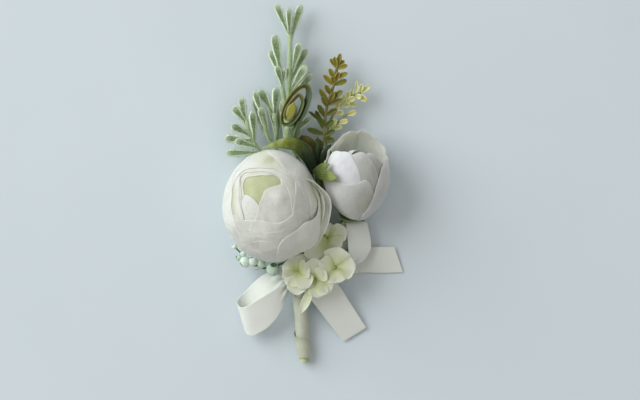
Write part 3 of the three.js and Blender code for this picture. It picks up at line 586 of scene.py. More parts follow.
# %% Bloom petals, from the outside in
BLOOM_OUTER = [
    {"rim": [(-54, 118), (-43, 111), (-32, 105), (-22, 100), (-12, 97), (-2, 94), (4, 86), (9, 74),
             (16, 62)],
     "layer": 0.962, "flare": 0.23, "green": (20, 60, 0.3)},
    {"rim": [(-46, 112), (-38, 105), (-28, 99), (-18, 94), (-8, 90), (2, 84), (9, 74), (18, 62)],
     "layer": 0.952, "flare": 0.13, "green": (8, 36, 0.5)},
    {"rim": [(-84, 90), (-77, 75), (-70, 67), (-61, 64), (-51, 65), (-41, 68), (-32, 71), (-25, 79),
             (-16, 86), (-6, 87), (4, 83), (14, 80), (26, 80)],
     "layer": 0.945, "green": (8, 30, 0.2), "ridge": (-35, 101, 22, 0.165), "base": 155},
    {"rim": [(208, 90), (215, 80), (228, 80), (244, 75), (261, 72), (274, 73), (284, 78), (292, 92)],
     "layer": 0.943, "roll": -0.003, "green": (10, 60, 0.1), "base": 165},
    {"rim": [(200, 86), (210, 75), (222, 74), (237, 73), (250, 68), (263, 66), (275, 67), (286, 75),
             (294, 90)],
     "layer": 0.9413, "roll": -0.003, "green": (8, 40, 0.1), "base": 160},
    {"rim": [(104, 66), (116, 50), (131, 42), (145, 41), (162, 38), (180, 37), (195, 40), (209, 43),
             (222, 48), (233, 54), (244, 66)],
     "layer": 0.936, "roll": -0.003, "green": (10, 60, 0.1), "base": 165},
    {"rim": [(196, 76), (206, 68), (219, 66), (232, 69), (243, 67), (257, 61), (269, 59), (280, 62),
             (288, 70), (295, 84)],
     "layer": 0.9395, "roll": -0.003, "green": (8, 40, 0.12), "base": 160},
    {"rim": [(204, 68), (213, 59), (226, 58), (238, 60), (250, 56), (262, 53), (274, 56), (287, 60),
             (300, 64), (312, 74)],
     "layer": 0.937, "roll": -0.003, "green": (8, 30, 0.12), "base": 160},
    # This petal's patch paints yellow green shade into the hollow under the guard petals.
    {"rim": [(-26, 84), (-18, 76), (-9, 72), (-1, 69), (7, 63), (13, 56), (19, 48), (30, 43), (46, 39),
             (61, 40), (77, 47), (89, 62), (98, 76)],
     "layer": 0.9365, "green": (14, 50, 0.12), "patch": (6, 86, 12, 0.6), "base": 160},
    # This petal's patch paints the shade that falls in the gap under the rim of the petal above it.
    {"rim": [(-10, 66), (0, 56), (7, 53), (17, 46), (27, 37), (44, 30), (70, 24), (101, 25), (125, 30),
             (139, 33), (154, 34), (172, 38), (182, 48)],
     "layer": 0.932, "green": (5, 30, 0.22), "patch": (72, 37, 13, 0.5), "base": 160},
]
BLOOM_MIDDLE = [
    {"rim": [(214, 60), (223, 50), (233, 51), (244, 49), (259, 48), (275, 50), (291, 53), (304, 56),
             (316, 60), (325, 70)],
     "layer": 0.9345, "roll": -0.003, "green": (5, 25, 0.12)},
    {"rim": [(116, 56), (125, 42), (140, 32), (164, 25), (189, 24), (213, 28), (229, 33), (241, 40),
             (254, 50)],
     "layer": 0.9285, "roll": -0.002, "green": (4, 13, 0.5)},
    {"rim": [(208, 50), (217, 40), (231, 40), (245, 37), (263, 35), (284, 38), (301, 45), (313, 49),
             (324, 52), (334, 62)],
     "layer": 0.9305, "roll": -0.002, "green": (6, 25, 0.1)},
    {"rim": [(-52, 84), (-46, 64), (-35, 53), (-23, 48), (-9, 46), (9, 47), (23, 55), (34, 70)],
     "layer": 0.927, "roll": -0.001, "green": (10, 40, 0.12)},
    # This petal's patch paints the shaded gap under the top petal's rim.
    {"rim": [(-34, 54), (-26, 46), (-15, 41), (-2, 36), (14, 31), (30, 27), (51, 22), (81, 19), (113, 22),
             (129, 27), (142, 28), (162, 24), (187, 22), (212, 26), (231, 33), (244, 44)],
     "layer": 0.9245, "green": (5, 18, 0.25), "patch": (104, 26, 5, 0.3), "across": 32},
]
BLOOM_HEART = [
    {"rim": [(178, 44), (186, 32), (191, 24), (198, 18), (211, 14), (239, 12), (261, 14), (279, 22),
             (288, 36)],
     "layer": 0.919, "green": (14, 40, 0.1)},
    {"rim": [(250, 42), (262, 30), (274, 18), (290, 13), (309, 11), (327, 9), (345, 11), (358, 16),
             (366, 27), (372, 42)],
     "layer": 0.9215, "green": (16, 40, 0.1), "ridge": (334, 30, 6, 0.085)},
    {"rim": [(-20, 42), (-8, 33), (3, 29), (20, 28), (37, 23), (57, 16), (101, 15), (128, 19), (143, 21),
             (165, 20), (192, 18), (208, 24), (222, 36)],
     "layer": 0.9165, "green": (0.5, 3, 0.25), "across": 32},
]
bloom = build_flower(
    "bloom", BLOOM, bloom_cloth, BLOOM_OUTER + BLOOM_MIDDLE + BLOOM_HEART, core_layer=0.912, core_dye=0.68,
)
settle(bloom, "bloom_petals")

# %% [markdown]
# ## The bud
# The second flower is only half open and leans away from the camera, so the camera looks over the front
# petal into the cup. Two back petals stand up like a hood and show their inner faces, greenish grey in the
# shade; part of that grey is painted shade. A bright tongue and two petals rise in front of them, painted
# greyer as shade, and a lobe opens out to the right.

# %% Bud petals
BUD_PETALS = [
    # The front petal's patch paints shade on its lower right, away from the light.
    {"rim": [(172, 112), (178, 100), (186, 95), (198, 90), (210, 84), (229, 75), (245, 70), (260, 66),
             (273, 61), (283, 58), (292, 61), (298, 70), (303, 81), (310, 95), (318, 112)],
     "layer": 0.968, "green": (-9, 12, 0.18), "patch": (285, 92, 26, 0.4), "base": 170, "across": 30},
    {"rim": [(286, 114), (293, 98), (300, 82), (307, 69), (316, 59), (329, 52), (346, 50), (358, 54),
             (370, 62), (382, 74)],
     "layer": 0.985, "roll": -0.006, "flare": 0.01, "green": (-9, 30, 0.22), "ridge": (350, 78, 24, 0.05),
     "base": 170, "across": 30},
    {"rim": [(-34, 90), (-24, 84), (-15, 76), (-8, 68), (2, 60), (14, 52), (28, 44), (42, 38), (56, 35),
             (70, 34), (84, 33), (89, 35), (91, 42), (91, 60)],
     "layer": 0.974, "flare": 0.03, "green": (5, 24, 0.35), "base": 170, "wave": 3.0, "ragged": 0.1,
     "across": 96},
    {"rim": [(90.5, 66), (91, 50), (93, 39), (98, 35), (107, 35), (117, 41), (132, 49), (146, 59),
             (159, 72), (169, 85), (178, 98), (188, 112)],
     "layer": 0.966, "green": (3, 22, 0.33), "base": 170, "wave": 3.0, "ragged": 0.07, "across": 72},
    {"rim": [(183, 104), (187, 90), (190, 76), (193, 62), (196, 49), (202, 39), (215, 32), (233, 30),
             (251, 35), (262, 41), (269, 49), (275, 61), (280, 76)],
     "layer": 0.952, "green": (30, 60, 0.05), "across": 30},
    {"rim": [(212, 60), (222, 44), (234, 33), (250, 24), (275, 20), (300, 26), (309, 36), (313, 48),
             (316, 62), (319, 80)],
     "layer": 0.947, "green": (-6, 18, 0.36), "base": 140, "across": 26},
    {"rim": [(262, 70), (276, 36), (298, 23), (324, 24), (338, 35), (344, 50), (348, 66), (352, 88)],
     "layer": 0.939, "green": (0, 10, 0.45), "base": 140, "across": 26},
]
BUD_MIDDLE = [
    {"rim": [(40, 100), (55, 58), (100, 26), (150, 20), (200, 38), (230, 95)],
     "layer": 0.56, "base": 165},
    {"rim": [(160, 100), (175, 56), (220, 31), (270, 26), (320, 38), (350, 95)],
     "layer": 0.9, "base": 165},
    {"rim": [(280, 100), (295, 54), (340, 22), (390, 16), (440, 34), (470, 95)],
     "layer": 0.5, "base": 165},
]
bud = build_flower("bud", BUD, bud_cloth, BUD_PETALS + BUD_MIDDLE, core_layer=0.46, core_dye=0.4)
settle(bud, "bud_petals")

# %% [markdown]
# ## Where the stems stand
# Every stem of the bunch goes down into a cup at the top of the taped bundle, in two rings round its middle.
# The bow hides that place, but a stem that starts there lies right all the way up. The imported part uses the
# same places, given by an angle round the cup and a ring.

# %% Seats of the stems
CUP = (-5.5, -32.4, 4.6)
CUP_FOOT = -38.6
CUP_MOUTH = -31.8
INNER_RING = 1.2
OUTER_RING = 2.25


def seat(angle, ring):
    x = CUP[0] + ring * math.cos(math.radians(angle))
    z = CUP[2] + ring * math.sin(math.radians(angle))
    return [[x, CUP_FOOT, z], [x, CUP_MOUTH, z]]


# %% [markdown]
# ## Green plastic and flocked leaves
# The greens of a made boutonniere are moulded leaves. Some are coated with short fibres, which makes them
# pale and dull, palest along the edge where the coat is thickest. The others are bare, with a soft gloss and
# fine raised veins. One recipe serves all the bare leaves: a colour in the middle, another along the edge, a
# third in cloudy patches.

# %% Leaf materials
def leaf_material(name, middle, edge, patch, roughness, veins, patch_size=5.0, low=None):
    """low is the colour far down the bunch, as (Y in mm where it is full, Y where it ends, colour)."""
    material, tree = start_material(
        name, roughness, Subsurface_Weight=0.08, Subsurface_Scale=1.0 * MM, Specular_IOR_Level=0.25,
    )
    lines = use_group(tree, VEINS, Veins=veins, Sharpness=5.0)
    toned = mix_colour(tree, clouds(tree, patch_size), middle, patch)
    lined = mix_colour(tree, scaled(tree, lines["Vein"], 0.35), toned, edge)
    colour = mix_colour(tree, scaled(tree, lines["Edge"], 0.6), lined, edge)
    if low:
        full, end, low_colour = low
        down = spread(tree, surface_place(tree, "Object", "Y"), end * MM, full * MM)
        colour = mix_colour(tree, scaled(tree, down, 0.8), colour, low_colour)
    return end_material(material, colour, lines["Vein"], 0.08, 0.8)


def along_material(name, stops, roughness, veins, sharpness=4.0, uneven=0.25, line="Vein", line_share=0.25,
                   line_colour=None, depth=0.1, strength=1.0, **sockets):
    """A colour that changes from foot to tip. stops lists (place, colour), and line is Vein or Edge."""
    material, tree = start_material(name, roughness, **sockets)
    place = math_node(tree, "ADD", surface_place(tree, "UV", "Y"), drift(tree, 3.0, uneven))
    lines = use_group(tree, VEINS, Veins=veins, Sharpness=sharpness)
    share = scaled(tree, lines[line], line_share)
    veined = mix_colour(tree, share, ramp_node(tree, place, stops), line_colour or stops[-1][1])
    return end_material(material, veined, lines["Vein"], depth, strength)


def flocked_material(name, middle, edge, deep):
    material, tree = start_material(
        name, 0.95, Sheen_Weight=0.2, Sheen_Roughness=0.6, Sheen_Tint=(0.8, 0.9, 0.75, 1),
        Specular_IOR_Level=0.1,
    )
    fuzz = use_group(tree, FUZZ, Fibre_mm=0.22)
    rim = use_group(tree, VEINS, Veins=1.0, Sharpness=2.0)["Edge"]
    tip = scaled(tree, spread(tree, surface_place(tree, "UV", "Y"), 0.75, 1.0), 0.6)
    toned = mix_colour(tree, clouds(tree, 4.0), deep, middle)
    frosted = mix_colour(tree, math_node(tree, "MAXIMUM", rim, tip), toned, edge)
    flecked = mix_colour(tree, scaled(tree, fuzz["Fleck"], 0.35), frosted, edge)
    return end_material(material, flecked, fuzz["Height"], 0.12, 0.9)


def grainy_material(name, colour, other, roughness, cloud=2.5, grain=0.3, depth=0.04, strength=0.4,
                    **sockets):
    material, tree = start_material(name, roughness, **sockets)
    toned = mix_colour(tree, clouds(tree, cloud), colour, other)
    return end_material(material, toned, use_group(tree, FUZZ, Fibre_mm=grain)["Height"], depth, strength)


# %% The sprigs' materials
flocked_leaf = flocked_material("flocked leaf", (0.17, 0.265, 0.095), (0.86, 0.96, 0.8), (0.09, 0.155, 0.05))
flocked_stem = flocked_material("flocked stem", (0.36, 0.47, 0.26), (0.5, 0.62, 0.4), (0.26, 0.36, 0.17))
flock_fibre = grainy_material("flock fibre", (0.78, 0.88, 0.7), (0.56, 0.68, 0.46), 0.9)
# low paints the lower olive leaves dark green: partly their own darker green, partly painted shade among the
# leaves between the flowers.
olive_leaf = leaf_material(
    "olive leaf", (0.2, 0.215, 0.026), edge=(0.42, 0.42, 0.1), patch=(0.2, 0.09, 0.015), roughness=0.45,
    veins=1.0, patch_size=3.4, low=(26, 43, (0.045, 0.085, 0.012)),
)
lime_leaf = leaf_material(
    "lime leaf", (0.62, 0.67, 0.28), edge=(0.92, 0.93, 0.7), patch=(0.5, 0.46, 0.14), roughness=0.5,
    veins=1.0, patch_size=3.4,
)
olive_stem = grainy_material("olive stem", (0.24, 0.2, 0.05), (0.13, 0.12, 0.02), 0.55)
lime_stem = grainy_material("lime stem", (0.3, 0.32, 0.1), (0.2, 0.2, 0.05), 0.55)
green_stem = grainy_material("green stem", (0.12, 0.19, 0.05), (0.06, 0.1, 0.02), 0.5)

# %% [markdown]
# ## One leaf of each kind
# The leaves of a sprig come from one mould, so each kind is modelled once: a club shaped leaf that widens
# towards its round tip, and an oblong one with a fold along its middle. Each copy is laid between the point
# where it leaves the stem and its tip, and is bent and twisted a little, so that no two look the same.

# %% Master leaves
MASTER_LENGTH = 12.0
MASTER_HALF_WIDTH = 1.5


def profile_width(t, profile):
    """The share of the full width at place t, smoothly between the given (place, share) pairs."""
    for (start, share), (end, next_share) in zip(profile, profile[1:]):
        if t <= end:
            return lerp(share, next_share, smoothstep(start, end, t))
    return profile[-1][1]


def master_leaf(name, material, profile, cup, fold, thickness):
    def surface(u, t):
        half = MASTER_HALF_WIDTH * profile_width(t, profile)
        lift = cup * u * u * math.sin(math.pi * t) + fold * (abs(u) - 0.5)
        return (u * half, t * MASTER_LENGTH, lift * half)

    return thicken(lay_sheet(name, surface, 6, 16, material), thickness)


def place_leaf(master, base, tip, half_width, bend, twist):
    leaf = master.copy()
    leaf.data = master.data.copy()
    bpy.context.collection.objects.link(leaf)
    start = Vector(base)
    run = Vector(tip) - start
    along = run.normalized()
    across = along.cross(Vector((0, 0, 1))).normalized()
    through = across.cross(along)
    turn = Matrix.Rotation(math.radians(twist), 3, along)
    across = turn @ across
    through = turn @ through
    for vertex in leaf.data.vertices:
        x, y, z = vertex.co / MM
        share = y / MASTER_LENGTH
        spot = start + run * share + across * x * half_width / MASTER_HALF_WIDTH
        vertex.co = (spot + through * (z + bend * math.sin(math.pi * share))) * MM
    return leaf


CLUB = [(0, 0.42), (0.3, 0.5), (0.62, 0.9), (0.82, 1), (0.95, 0.72), (1, 0.2)]
OBLONG = [(0, 0.3), (0.2, 0.68), (0.55, 1), (0.85, 0.8), (1, 0.14)]
club_leaf = master_leaf("club leaf", flocked_leaf, CLUB, cup=0.15, fold=0.05, thickness=1.0)
olive_master = master_leaf("olive oblong leaf", olive_leaf, OBLONG, cup=0.1, fold=0.25, thickness=0.7)
lime_master = master_leaf("lime oblong leaf", lime_leaf, OBLONG, cup=0.1, fold=0.25, thickness=0.6)

# %% Flock fibres
FIBRE_LENGTH = 0.8
FIBRE_WIDTH = 0.09
FIBRE_ROOT = 0.05
FIBRE_LEAN = 0.5
SPIKE_FACES = ((2, 1, 0), (0, 1, 3), (1, 2, 3), (2, 0, 3))


def fibres(piece, count):
    """Short fibres that stand on a piece's faces, each a thin closed spike, as one mesh."""
    places = list(piece.data.polygons)
    picked = random.choices(places, weights=[polygon.area for polygon in places], k=count)
    corners = []
    faces = []
    for polygon in picked:
        ring = [piece.data.vertices[index].co for index in polygon.vertices]
        near = ring[0].lerp(ring[1], random.random())
        far = ring[2].lerp(ring[-1], random.random())
        foot = near.lerp(far, random.random())
        lean = Vector([random.uniform(-FIBRE_LEAN, FIBRE_LEAN) for axis in range(3)])
        out = (polygon.normal + lean).normalized()
        side = out.orthogonal().normalized() * FIBRE_WIDTH * MM
        root = foot - out * FIBRE_ROOT * MM
        spike = [root + Matrix.Rotation(turn * math.tau / 3, 3, out) @ side for turn in range(3)]
        spike.append(foot + out * random.uniform(0.5, 1) * FIBRE_LENGTH * MM)
        faces += [[len(corners) + corner for corner in face] for face in SPIKE_FACES]
        corners += [above_table(corner, 0) for corner in spike]
    mesh = bpy.data.meshes.new("fibres")
    mesh.from_pydata(corners, [], faces)
    mesh.materials.append(flock_fibre)
    coat = bpy.data.objects.new("fibres", mesh)
    bpy.context.collection.objects.link(coat)
    return coat


# %% A sprig from its stems and leaves
TWIST = 18
FLOCKED = (club_leaf, flocked_stem, "flocked_leaf")
OLIVE = (olive_master, olive_stem, "olive_leaf")
LIME = (lime_master, lime_stem, "lime_leaf")


def build_sprig(name, node, kind, stems, leaves, bend=0.5, flock=0):
    """stems lists (points, from radius, to radius). leaves lists (tip, base, half width)."""
    master, material, slot = kind
    pieces = [stem(points, start, end, material) for points, start, end in stems]
    for tip, base, half_width in leaves:
        pieces.append(place_leaf(
            master, base, tip, half_width, random.uniform(-bend, bend), random.uniform(-TWIST, TWIST),
        ))
    sprig = join(pieces, name)
    if flock:
        sprig = join([sprig, fibres(sprig, flock)], name)
    settle(sprig, node)


# %% [markdown]
# ## Flocked sprigs
# Three sage green sprigs stand behind the bloom. The tall one rises far above everything, and a lower one
# leans to the left. Their leaves open towards the tips of the stems like small clubs.

# %% Tall flocked sprig
build_sprig("tall_flocked_sprig", "flocked_sprig_tall", FLOCKED, [
    ([*seat(312, OUTER_RING), [2.4, -12, 1.3], [-1, 0, 2.6], [-9.2, 17.2, 7], [-9.8, 30, 7.6],
      [-9.6, 42, 7.6], [-9.3, 59.6, 7]], 0.45, 0.95),
    ([[-10.4, 20, 6.6], [-11.4, 32.8, 7], [-12.4, 39.6, 7.4], [-12.8, 44.2, 7.4]], 0.8, 0.8),
    ([[-10.3, 16.4, 6.3], [-10, 22.6, 7.4]], 1.5, 1.2),
    ([[-8.9, 16.4, 6.3], [-8.6, 22.6, 7.4]], 1.1, 0.9),
], [
    ([-14.8, 72, 6], [-9.5, 59, 7], 1.4),
    ([-9.6, 70.4, 7.8], [-9.5, 58.4, 7], 1.3),
    ([-4.8, 71.6, 6.4], [-9.3, 56.8, 7], 1.6),
    ([-15.6, 59.6, 8], [-12.8, 43.6, 7.4], 1.9),
    ([-17.4, 53.2, 6], [-12.6, 41.6, 7.4], 1.4),
    ([-5.2, 56.4, 8.6], [-8.6, 44, 7.6], 1.6),
    ([-2.4, 54, 6.4], [-9.2, 40.8, 7.6], 1.5),
    ([-2.6, 47.2, 8.4], [-9.4, 36, 7.6], 1.8),
    ([-0.2, 43.8, 6.8], [-9.6, 34, 7.6], 1.7),
    ([-14.6, 47, 9.2], [-12.2, 38.6, 7.4], 1.4),
    ([-11.6, 46, 9], [-12.2, 38.8, 7.4], 1.3),
    ([-0.6, 26.8, 5], [-8.8, 19, 6.8], 1.5),
    ([-7.8, 49.6, 6], [-9.6, 38, 7.4], 1.2),
    ([-12.6, 33, 5.8], [-11.2, 18, 5.4], 1.3),
    ([-6.8, 31.4, 5], [-8.8, 19.6, 6], 1.2),
], flock=9000)

# %% Left and middle flocked sprigs
build_sprig("left_flocked_sprig", "flocked_sprig_left", FLOCKED, [
    ([*seat(252, OUTER_RING), [-1.2, -12, 1.2], [-8, 1, 2.6], [-20.4, 11.6, 5.4], [-25.6, 20.4, 7.6],
      [-26.8, 25.4, 8.2]], 0.45, 0.75),
], [
    ([-32, 30.6, 8.6], [-26.8, 24.4, 8], 1.7),
    ([-28.8, 34.2, 7.6], [-26.8, 25, 8.2], 1.5),
    ([-24.4, 28.8, 9], [-23.6, 16.8, 6.8], 1.6),
    ([-32.6, 23.2, 9], [-25, 18.8, 7.4], 1.7),
    ([-35.4, 18.1, 7], [-24.6, 17.2, 7], 1.6),
    ([-31.4, 17, 7.4], [-22.4, 14.4, 6.2], 1.7),
    ([-35.2, 12, 5.8], [-21, 12.4, 5.6], 1.5),
    ([-29.2, 29.4, 6.6], [-26, 20.8, 7.4], 1.3),
], flock=6000)

build_sprig("middle_flocked_sprig", "flocked_sprig_middle", FLOCKED, [
    ([*seat(282, OUTER_RING), [0.6, -12, 1.2], [-4.2, 0.4, 2.4], [-15.6, 14.6, 4.8], [-18.6, 20, 6.4],
      [-20.6, 27, 7.6]], 0.45, 0.75),
    ([[-15.6, 14.6, 4.8], [-14.8, 20, 5.6], [-15.6, 28, 6.6]], 0.6, 0.75),
], [
    ([-21.2, 37.8, 5.6], [-15.8, 27.2, 6.4], 1.7),
    ([-14.8, 38.4, 5.2], [-15.6, 25.6, 6.4], 1.7),
    ([-21.2, 30.4, 8.4], [-17.6, 17.6, 5.8], 1.7),
    ([-23.4, 36.8, 7], [-20.4, 26.2, 7.4], 1.4),
    ([-24, 33.8, 5], [-18.6, 17.6, 4.6], 1.2),
    ([-18.2, 33.4, 5.4], [-15, 19, 4.8], 1.2),
    ([-13.4, 30, 5], [-14.4, 16.4, 4.6], 1.3),
], flock=6000)

# %% [markdown]
# ## Olive and lime sprigs
# Two finer sprigs with small bare leaves fill the space to the right: an olive brown one that stands upright,
# and a yellow green one that leans over behind the bud.

# %% Olive sprig
build_sprig("small_olive_sprig", "olive_sprig", OLIVE, [
    ([*seat(330, INNER_RING), [1.4, -22, 3.6], [4.4, -12, 1.6], [3.4, 0, 2.8], [2.8, 11.2, 5.4],
      [4.2, 17, 6.6], [4.6, 22.8, 7.4], [5.6, 30.4, 8], [7.2, 36, 8.2], [8.6, 40.4, 8.2], [9.8, 47.8, 8]],
     0.45, 0.6),
], [
    ([11, 52, 8.2], [9.8, 47, 8], 1.05),
    ([8.4, 50.6, 9], [9.6, 46.6, 8], 1),
    ([6.8, 49.8, 7.4], [9.6, 46.2, 8], 1.05),
    ([12.6, 49.2, 7.4], [9.6, 46.4, 8], 1),
    ([13.8, 47.2, 8.8], [9.4, 46, 8], 1.1),
    ([6.4, 45.9, 8.8], [9.1, 41.4, 8.2], 1.2),
    ([4.2, 43.4, 7.8], [8.5, 39.2, 8.2], 1.2),
    ([7.6, 42.8, 9.8], [8.6, 39.2, 8.2], 1),
    ([13.8, 44.2, 8.8], [9, 41.8, 8.2], 1.2),
    ([13.6, 41.3, 7.6], [8.6, 39.4, 8.2], 1.2),
    ([4.8, 39.3, 9.2], [7.2, 35.4, 8.2], 1.2),
    ([2.6, 37.8, 7.8], [6.2, 31.8, 8], 1.2),
    ([11.8, 37, 9.2], [6.8, 33.4, 8], 1.3),
    ([11.8, 33.7, 9.8], [6.2, 31.4, 8], 1.1),
    ([2, 31.4, 8.8], [4.9, 26.4, 7.8], 1.2),
    ([1, 29.2, 7.4], [4.3, 21.4, 7.2], 1.1),
    ([-1.8, 28.8, 8.6], [4.6, 23.8, 7.6], 0.7),
    ([-2.4, 21.7, 8.4], [4.4, 19.6, 7], 1.2),
    ([8.6, 17, 7.6], [4, 17.8, 6.8], 1.4),
    ([10.4, 44.4, 9.6], [8.9, 40.6, 8.2], 1.1),
    ([3.6, 34.8, 9.2], [5.9, 30.4, 8], 1.2),
    ([8.6, 36.4, 10], [6.6, 32, 8], 1.2),
    ([9.6, 29.6, 8.8], [5.4, 27.4, 7.8], 1.3),
    ([2.4, 26.2, 9], [4.6, 22.2, 7.4], 1.2),
    ([8, 25.2, 9.2], [4.6, 22, 7.4], 1.2),
    ([8.6, 21.2, 8.4], [4.4, 18.8, 7], 1.2),
    ([0.8, 17.4, 8.8], [4, 15.4, 6.4], 1.2),
    ([7, 13.8, 8], [3.4, 13, 6], 1.1),
], bend=0.3)

# %% Lime sprig
build_sprig("small_lime_sprig", "lime_sprig", LIME, [
    ([*seat(30, INNER_RING), [5.2, -11, 3.4], [5.6, 0, 2.8], [5.2, 11, 2.6], [7, 25.2, 4.4],
      [11.6, 31.6, 5.2], [14.4, 33.8, 5.6], [19.2, 36.6, 6]], 0.45, 0.5),
    ([[6, 19, 3.4], [9, 23.4, 4.4], [12, 26, 5], [14.6, 28.2, 5.2]], 0.5, 0.45),
], [
    ([17.6, 41, 6.6], [17.4, 35.6, 5.9], 0.8),
    ([16, 37.8, 5.2], [14.9, 33.6, 5.6], 0.9),
    ([19.8, 39.8, 7], [18.8, 36.2, 6], 1),
    ([23, 39, 6], [19, 36.2, 6], 1.1),
    ([21.8, 33, 6.6], [17.4, 35.6, 5.9], 1.3),
    ([14.2, 37, 7], [14, 33.2, 5.6], 1),
    ([12.4, 35.4, 4.4], [12.2, 31.8, 5.2], 1),
    ([14.9, 31.6, 6.8], [11.4, 31, 5.2], 1.2),
    ([12.4, 28.4, 6.4], [9, 28, 4.8], 1.2),
    ([17.4, 31.2, 4.6], [13, 32.4, 5.4], 1.3),
    ([17.4, 28.6, 6], [13.6, 27.4, 5.2], 1.2),
    ([11.8, 22.6, 5.8], [7.8, 22, 4], 1.1),
    ([19.6, 34.6, 7.4], [16.6, 34.8, 5.8], 1.2),
    ([16.8, 34.4, 7.4], [13.6, 32.6, 5.6], 1.2),
    ([13.4, 33.8, 7], [10.6, 30.4, 5.2], 1.1),
    ([10.2, 31.8, 6.6], [8.6, 27.2, 4.8], 1.2),
    ([14.2, 25, 6.4], [10, 24.2, 4.6], 1.2),
    ([9.4, 25.8, 6], [7.2, 21.6, 4], 1.1),
], bend=0.3)

# %% The moulds are done with
for master in (club_leaf, olive_master, lime_master):
    bpy.data.objects.remove(master)

# %% [markdown]
# ## The curled leaf
# A long strap leaf is rolled up on itself like a snail shell and stands on edge between the sprigs. It is
# laid as a strip along its line, tipped a little so that its upper face shows beside the edge. Its colour
# changes along the strap and paints light and shade: olive where the roll turns to the upper left, towards
# the lamp, dark green where it turns away to the right and below, and yellow olive at the heart of the roll.

# %% Curled strap
# The stops paint light and shade round the roll: olive stretches face the upper left, dark ones face away.
strap_painted_light_and_shade = along_material("curled strap", [
    (0.17, (0.022, 0.05, 0.008)), (0.26, (0.16, 0.14, 0.02)), (0.38, (0.2, 0.19, 0.03)),
    (0.46, (0.06, 0.09, 0.012)), (0.6, (0.05, 0.08, 0.012)), (0.7, (0.19, 0.16, 0.025)),
    (0.84, (0.13, 0.14, 0.02)), (0.93, (0.27, 0.26, 0.035)),
], 0.42, 3.0, sharpness=3.0, uneven=0, line="Edge", line_share=0.3, line_colour=(0.3, 0.34, 0.16), depth=0.06,
    strength=0.7, Specular_IOR_Level=0.45)
CURL_STEM = [*seat(270, INNER_RING), [1, -11, 2.8], [0.6, 0, 4.2], [-4.4, 11, 7.2]]
CURL_ROLL = [
    [-7.6, 17.4, 10.2], [-5.8, 24.8, 11.4], [-3.3, 30, 11.8], [-1.7, 35, 12], [-2.3, 38.4, 12],
    [-4.6, 38.6, 12], [-8, 36, 12], [-11.1, 31, 12], [-12.5, 25.8, 12], [-11.7, 23.6, 12],
    [-9, 23.8, 12.1], [-6, 27, 12.2], [-4.1, 31.8, 12.3], [-4.8, 34.6, 12.4], [-6.2, 35, 12.4],
    [-9.9, 30.6, 12.6], [-11.1, 27.4, 12.7], [-10.7, 25.9, 12.9], [-9.8, 26.3, 13.1], [-8.7, 29.2, 13.3],
    [-7.5, 32.2, 13.4],
]
STRAP_HALF_DEPTH = 1.1
STRAP_THICKNESS = 0.62
FOOT_TILT = 66
ROLL_TILT = 36
HEART_TILT = 50
curl = smooth_line(CURL_ROLL)


def strap_surface(u, t):
    """The strap stands on edge at its foot, tips over in the roll and is deepest near its heart."""
    step = 0.004
    along = (curl(min(t + step, 1)) - curl(max(t - step, 0))).normalized()
    across = along.cross(Vector((0, 0, 1))).normalized()
    deep = across.cross(along)
    in_roll = lerp(FOOT_TILT, ROLL_TILT, smoothstep(0.05, 0.3, t))
    tilt = math.radians(in_roll + HEART_TILT * smoothstep(0.82, 0.92, t))
    foot = lerp(1.5, 1, smoothstep(0.1, 0.3, t))
    heart = lerp(1, 1.7, smoothstep(0.86, 0.94, t)) * lerp(1, 0.3, smoothstep(0.96, 1, t))
    half = STRAP_HALF_DEPTH * foot * heart
    return curl(t) + (across * math.sin(tilt) + deep * math.cos(tilt)) * u * half


strap = thicken(lay_sheet("strap", strap_surface, 3, 150, strap_painted_light_and_shade), STRAP_THICKNESS)
curl_stem = stem([*CURL_STEM, *CURL_ROLL[:2]], 0.45, 0.5, green_stem)
settle(join([strap, curl_stem], "curled_strap_leaf"), "curled_leaf")

# %% [markdown]
# ## Single leaves
# Four leaves tuck in between the two flowers: a broad green one across the top of the bloom, an olive brown
# one behind it, a pointed one over the foot of the bud and a narrow dark one. A blade runs between its two
# edges, is crowned along its middle and has fine veins from end to end. Each blade is painted darker towards
# its foot, as the shade where the leaves tuck in between the flowers; the broad leaf is painted paler towards
# its tip at the left, where the light falls, and the narrow leaf is a dark green one painted almost black as
# shade.

# %% A leaf from the edges of its blades
LEAF_THICKNESS = 0.4
LEAF_CROWN = 0.5
LEAF_WAVE = 0.25
STALK_RADIUS = 0.45


def blade(edge_a, edge_b, material, close_tip):
    line_a = smooth_line(edge_a)
    line_b = smooth_line(edge_b)

    def surface(u, t):
        share = (u + 1) / 2
        if close_tip:
            share = lerp(share, 0.5, 0.85 * smoothstep(0.86, 1, t) ** 2)
        spot = line_a(t).lerp(line_b(t), share)
        spot.z += LEAF_CROWN * (1 - u * u) * math.sin(math.pi * t)
        spot.z += LEAF_WAVE * ripple(spot, 5, 3)
        return spot

    return thicken(lay_sheet("blade", surface, 10, 20, material), LEAF_THICKNESS)


def build_leaf(name, node, material, blades, stalk, close_tip=True):
    """blades lists each blade's two edges."""
    pieces = [blade(edge_a, edge_b, material, close_tip) for edge_a, edge_b in blades]
    pieces.append(stem(stalk, STALK_RADIUS, STALK_RADIUS, green_stem))
    settle(join(pieces, name), node)


def blade_material(name, stops, roughness, veins):
    return along_material(
        name, stops, roughness, veins,
        Subsurface_Weight=0.06, Subsurface_Scale=1.0 * MM, Specular_IOR_Level=0.28,
    )


